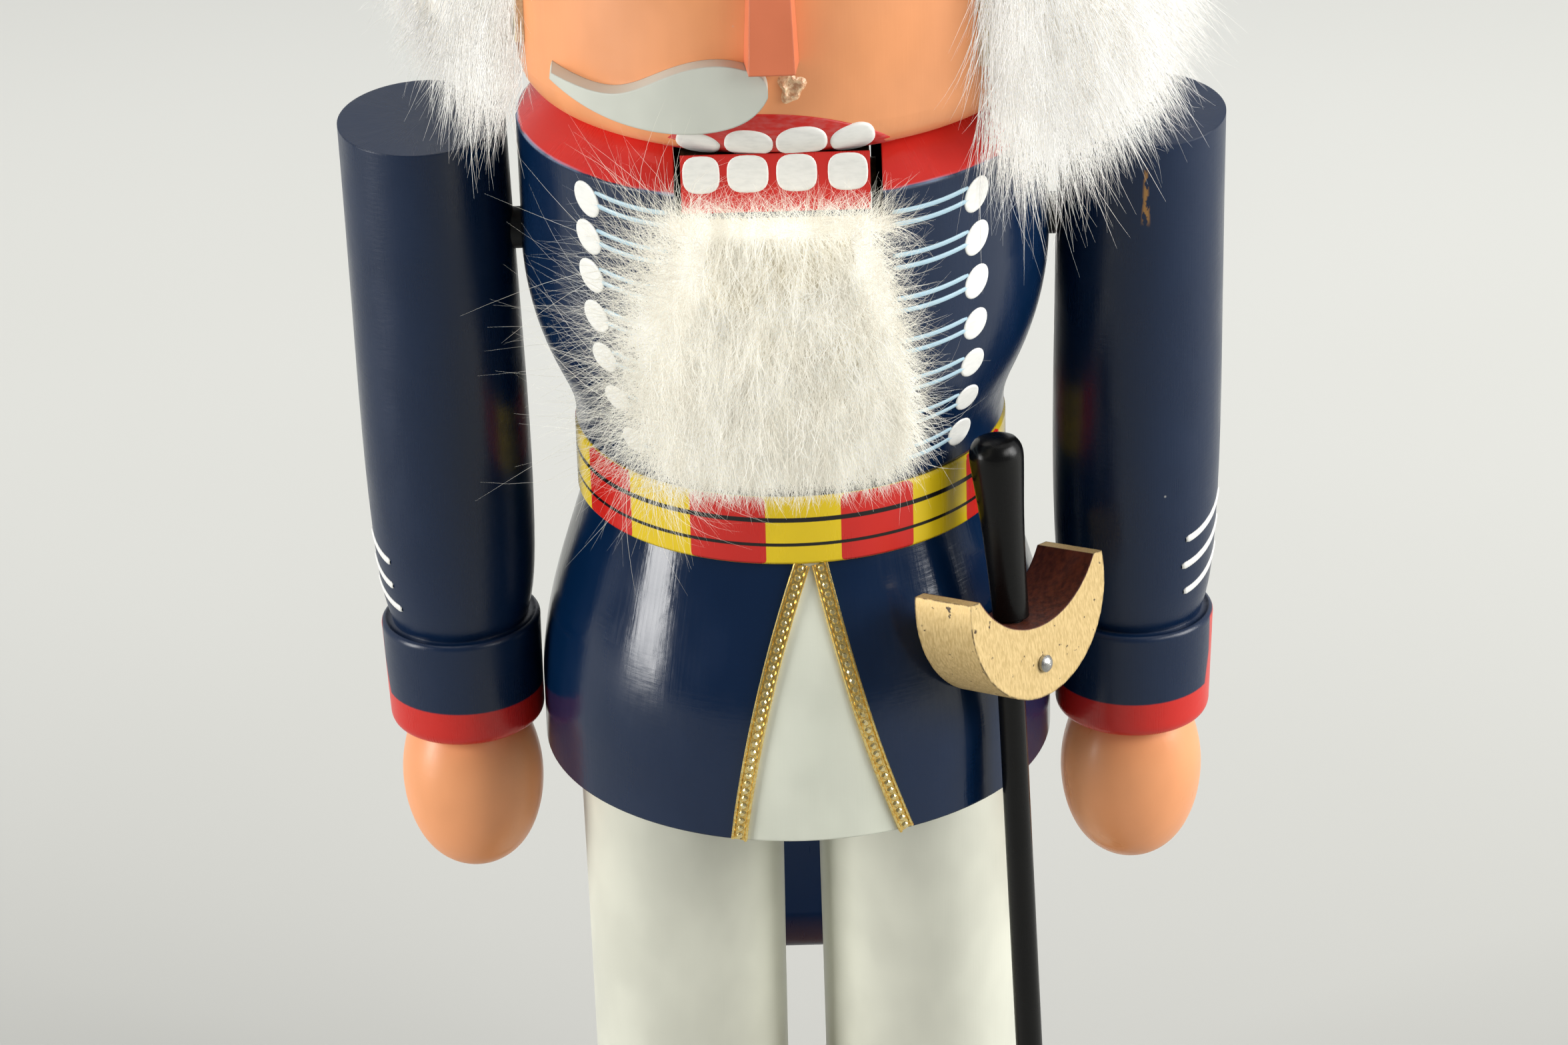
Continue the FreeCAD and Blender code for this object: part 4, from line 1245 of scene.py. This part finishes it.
def softbox(name, place, aim, size, power, tint=(1.0, 1.0, 1.0)):
    lamp = bpy.data.lights.new(name, "AREA")
    lamp.shape = "RECTANGLE"
    lamp.size, lamp.size_y = size
    lamp.energy = power
    lamp.color = tint
    holder = bpy.data.objects.new(name, lamp)
    holder.location = place
    holder.rotation_mode = "QUATERNION"
    holder.rotation_quaternion = (Vector(aim) - Vector(place)).to_track_quat("-Z", "Y")
    bpy.context.scene.collection.objects.link(holder)


def make_lights():
    chest = (0, 0, 0.17)
    softbox("left", (-1.12, -0.36, 0.42), chest, (0.34, 0.80), 12.0, (1.0, 0.99, 0.97))
    softbox("right", (1.15, -0.20, 0.58), chest, (0.60, 0.80), 12.0, (1.0, 0.995, 0.98))
    softbox("overhead", (0.0, 0.10, 1.5), chest, (1.2, 1.0), 8.0, (1.0, 0.995, 0.98))
    softbox("front", (1.05, -0.72, 0.85), chest, (0.8, 0.6), 8.0, (1.0, 0.99, 0.97))


def make_camera():
    """The photograph's view: a long lens, looking down on the figure from in front, slightly rolled."""
    pitch, roll, distance = math.radians(25.77), math.radians(1.59), 0.723
    forward = Vector((0, math.cos(pitch), -math.sin(pitch)))
    up = Vector((0, math.sin(pitch), math.cos(pitch)))
    right = Vector((1, 0, 0))
    aim = Vector((0, 0, HEM_Z * MM)) - right * 0.00134 + up * 0.02905
    data = bpy.data.cameras.new("camera")
    data.sensor_width = 36.0
    data.lens = 111.3
    camera = bpy.data.objects.new("camera", data)
    cam_x = right * math.cos(roll) - up * math.sin(roll)
    cam_y = right * math.sin(roll) + up * math.cos(roll)
    turn = Matrix((cam_x, cam_y, -forward)).transposed()
    camera.matrix_world = Matrix.Translation(aim - forward * distance) @ turn.to_4x4()
    bpy.context.scene.collection.objects.link(camera)
    bpy.context.scene.camera = camera
    bpy.context.scene.view_settings.view_transform = "Standard"


# ---------------------------------------------------------------- put it together
def dress(node, material):
    """Gives a CAD node its finish."""
    mesh = frame["nodes"][node].data
    mesh.materials.clear()
    mesh.materials.append(material)


def dress_cad():
    navy = lacquer("navy_lever", lever_colours, 0.24)
    black = lacquer("black_lacquer", plain(BLACK), 0.2, lathe=1.0)
    sabre_black = lacquer("sabre_black", plain(srgb(9, 9, 9)), 0.24, lathe=1.0, shine=0.3)
    beech = wood_material("bare_beech", BEECH, srgb(166, 126, 84), 0.5)
    gold = gold_paint_material()
    leather = leather_material()
    legs = lacquer("leg_paint", leg_colours, 0.34)
    flesh = lacquer("hand_paint", plain(FLESH), 0.3)
    finishes = {
        "base": wood_material("base_wood", srgb(176, 116, 66), srgb(128, 76, 40), 0.25),
        "leg_left": legs, "leg_right": legs,
        "toe_cap_left": black, "toe_cap_right": black,
        "coat_skirt": lacquer("skirt_paint", skirt_colours, 0.13),
        "belt_ring": lacquer("belt_paint", belt_colours, 0.26),
        "upper_body": lacquer("chest_paint", chest_colours, 0.22, matt_of=in_the_slot),
        "jaw_lever": navy,
        "beard_leather": leather, "hair_leather": leather,
        "head": lacquer("face_paint", head_colours, 0.33),
        "nose": lacquer("nose_paint", plain(NOSE), 0.38),
        "moustache_half": lacquer("moustache_paint", plain(MOUSTACHE_WHITE), 0.42),
        "hat_body": lacquer("hat_paint", hat_colours, 0.24),
        "hat_peak": black,
        "hat_knob": gold,
        "arm_left": lacquer("arm_left_paint", sleeve_colours(1), 0.27, arm_x(1, 170.0), lathe=1.0),
        "arm_right": lacquer("arm_right_paint", sleeve_colours(-1), 0.27, arm_x(-1, 170.0), lathe=1.0),
        "arm_dowels": lacquer("dowel_paint", plain(srgb(22, 25, 28)), 0.5),
        "hand_left": flesh, "hand_right": flesh,
        "sabre_guard": gold,
        "sabre_grip": sabre_black, "sabre_blade": sabre_black,
        "sabre_nail": steel_material(),
    }
    for node in frame["nodes"]:
        dress(node, finishes.get(node, beech))


def main():
    dress_cad()
    white = enamel("enamel_white", WHITE)
    blue = enamel("enamel_light_blue", LIGHT_BLUE)
    frogging(white, blue)
    sleeve_strokes(white)
    teeth_and_lips(white, enamel("enamel_red", RED))
    eyes_and_brows(white, enamel("enamel_blue", srgb(60, 104, 160)), enamel("enamel_black", BLACK))
    metal, beads = gold_metal_material(), bead_material()
    coat_braids(metal, beads)
    hat_braid(metal, beads)
    glue_scar()
    # the thick masses get darker copies of the fibre colours: painted shade, seen in the gaps between the hairs
    make_hair(fur_material("hair_fibre", srgb(252, 251, 246), srgb(222, 218, 210), away_from_head),
              fur_material("hair_thick_shaded", srgb(230, 226, 217), srgb(178, 172, 160), away_from_head))
    make_beard(fur_material("beard_fibre", srgb(248, 246, 236), srgb(216, 210, 192), away_from_chest),
               fur_material("beard_thick_shaded", srgb(224, 218, 199), srgb(172, 162, 138), away_from_chest))
    make_stage()
    make_lights()
    make_camera()


main()
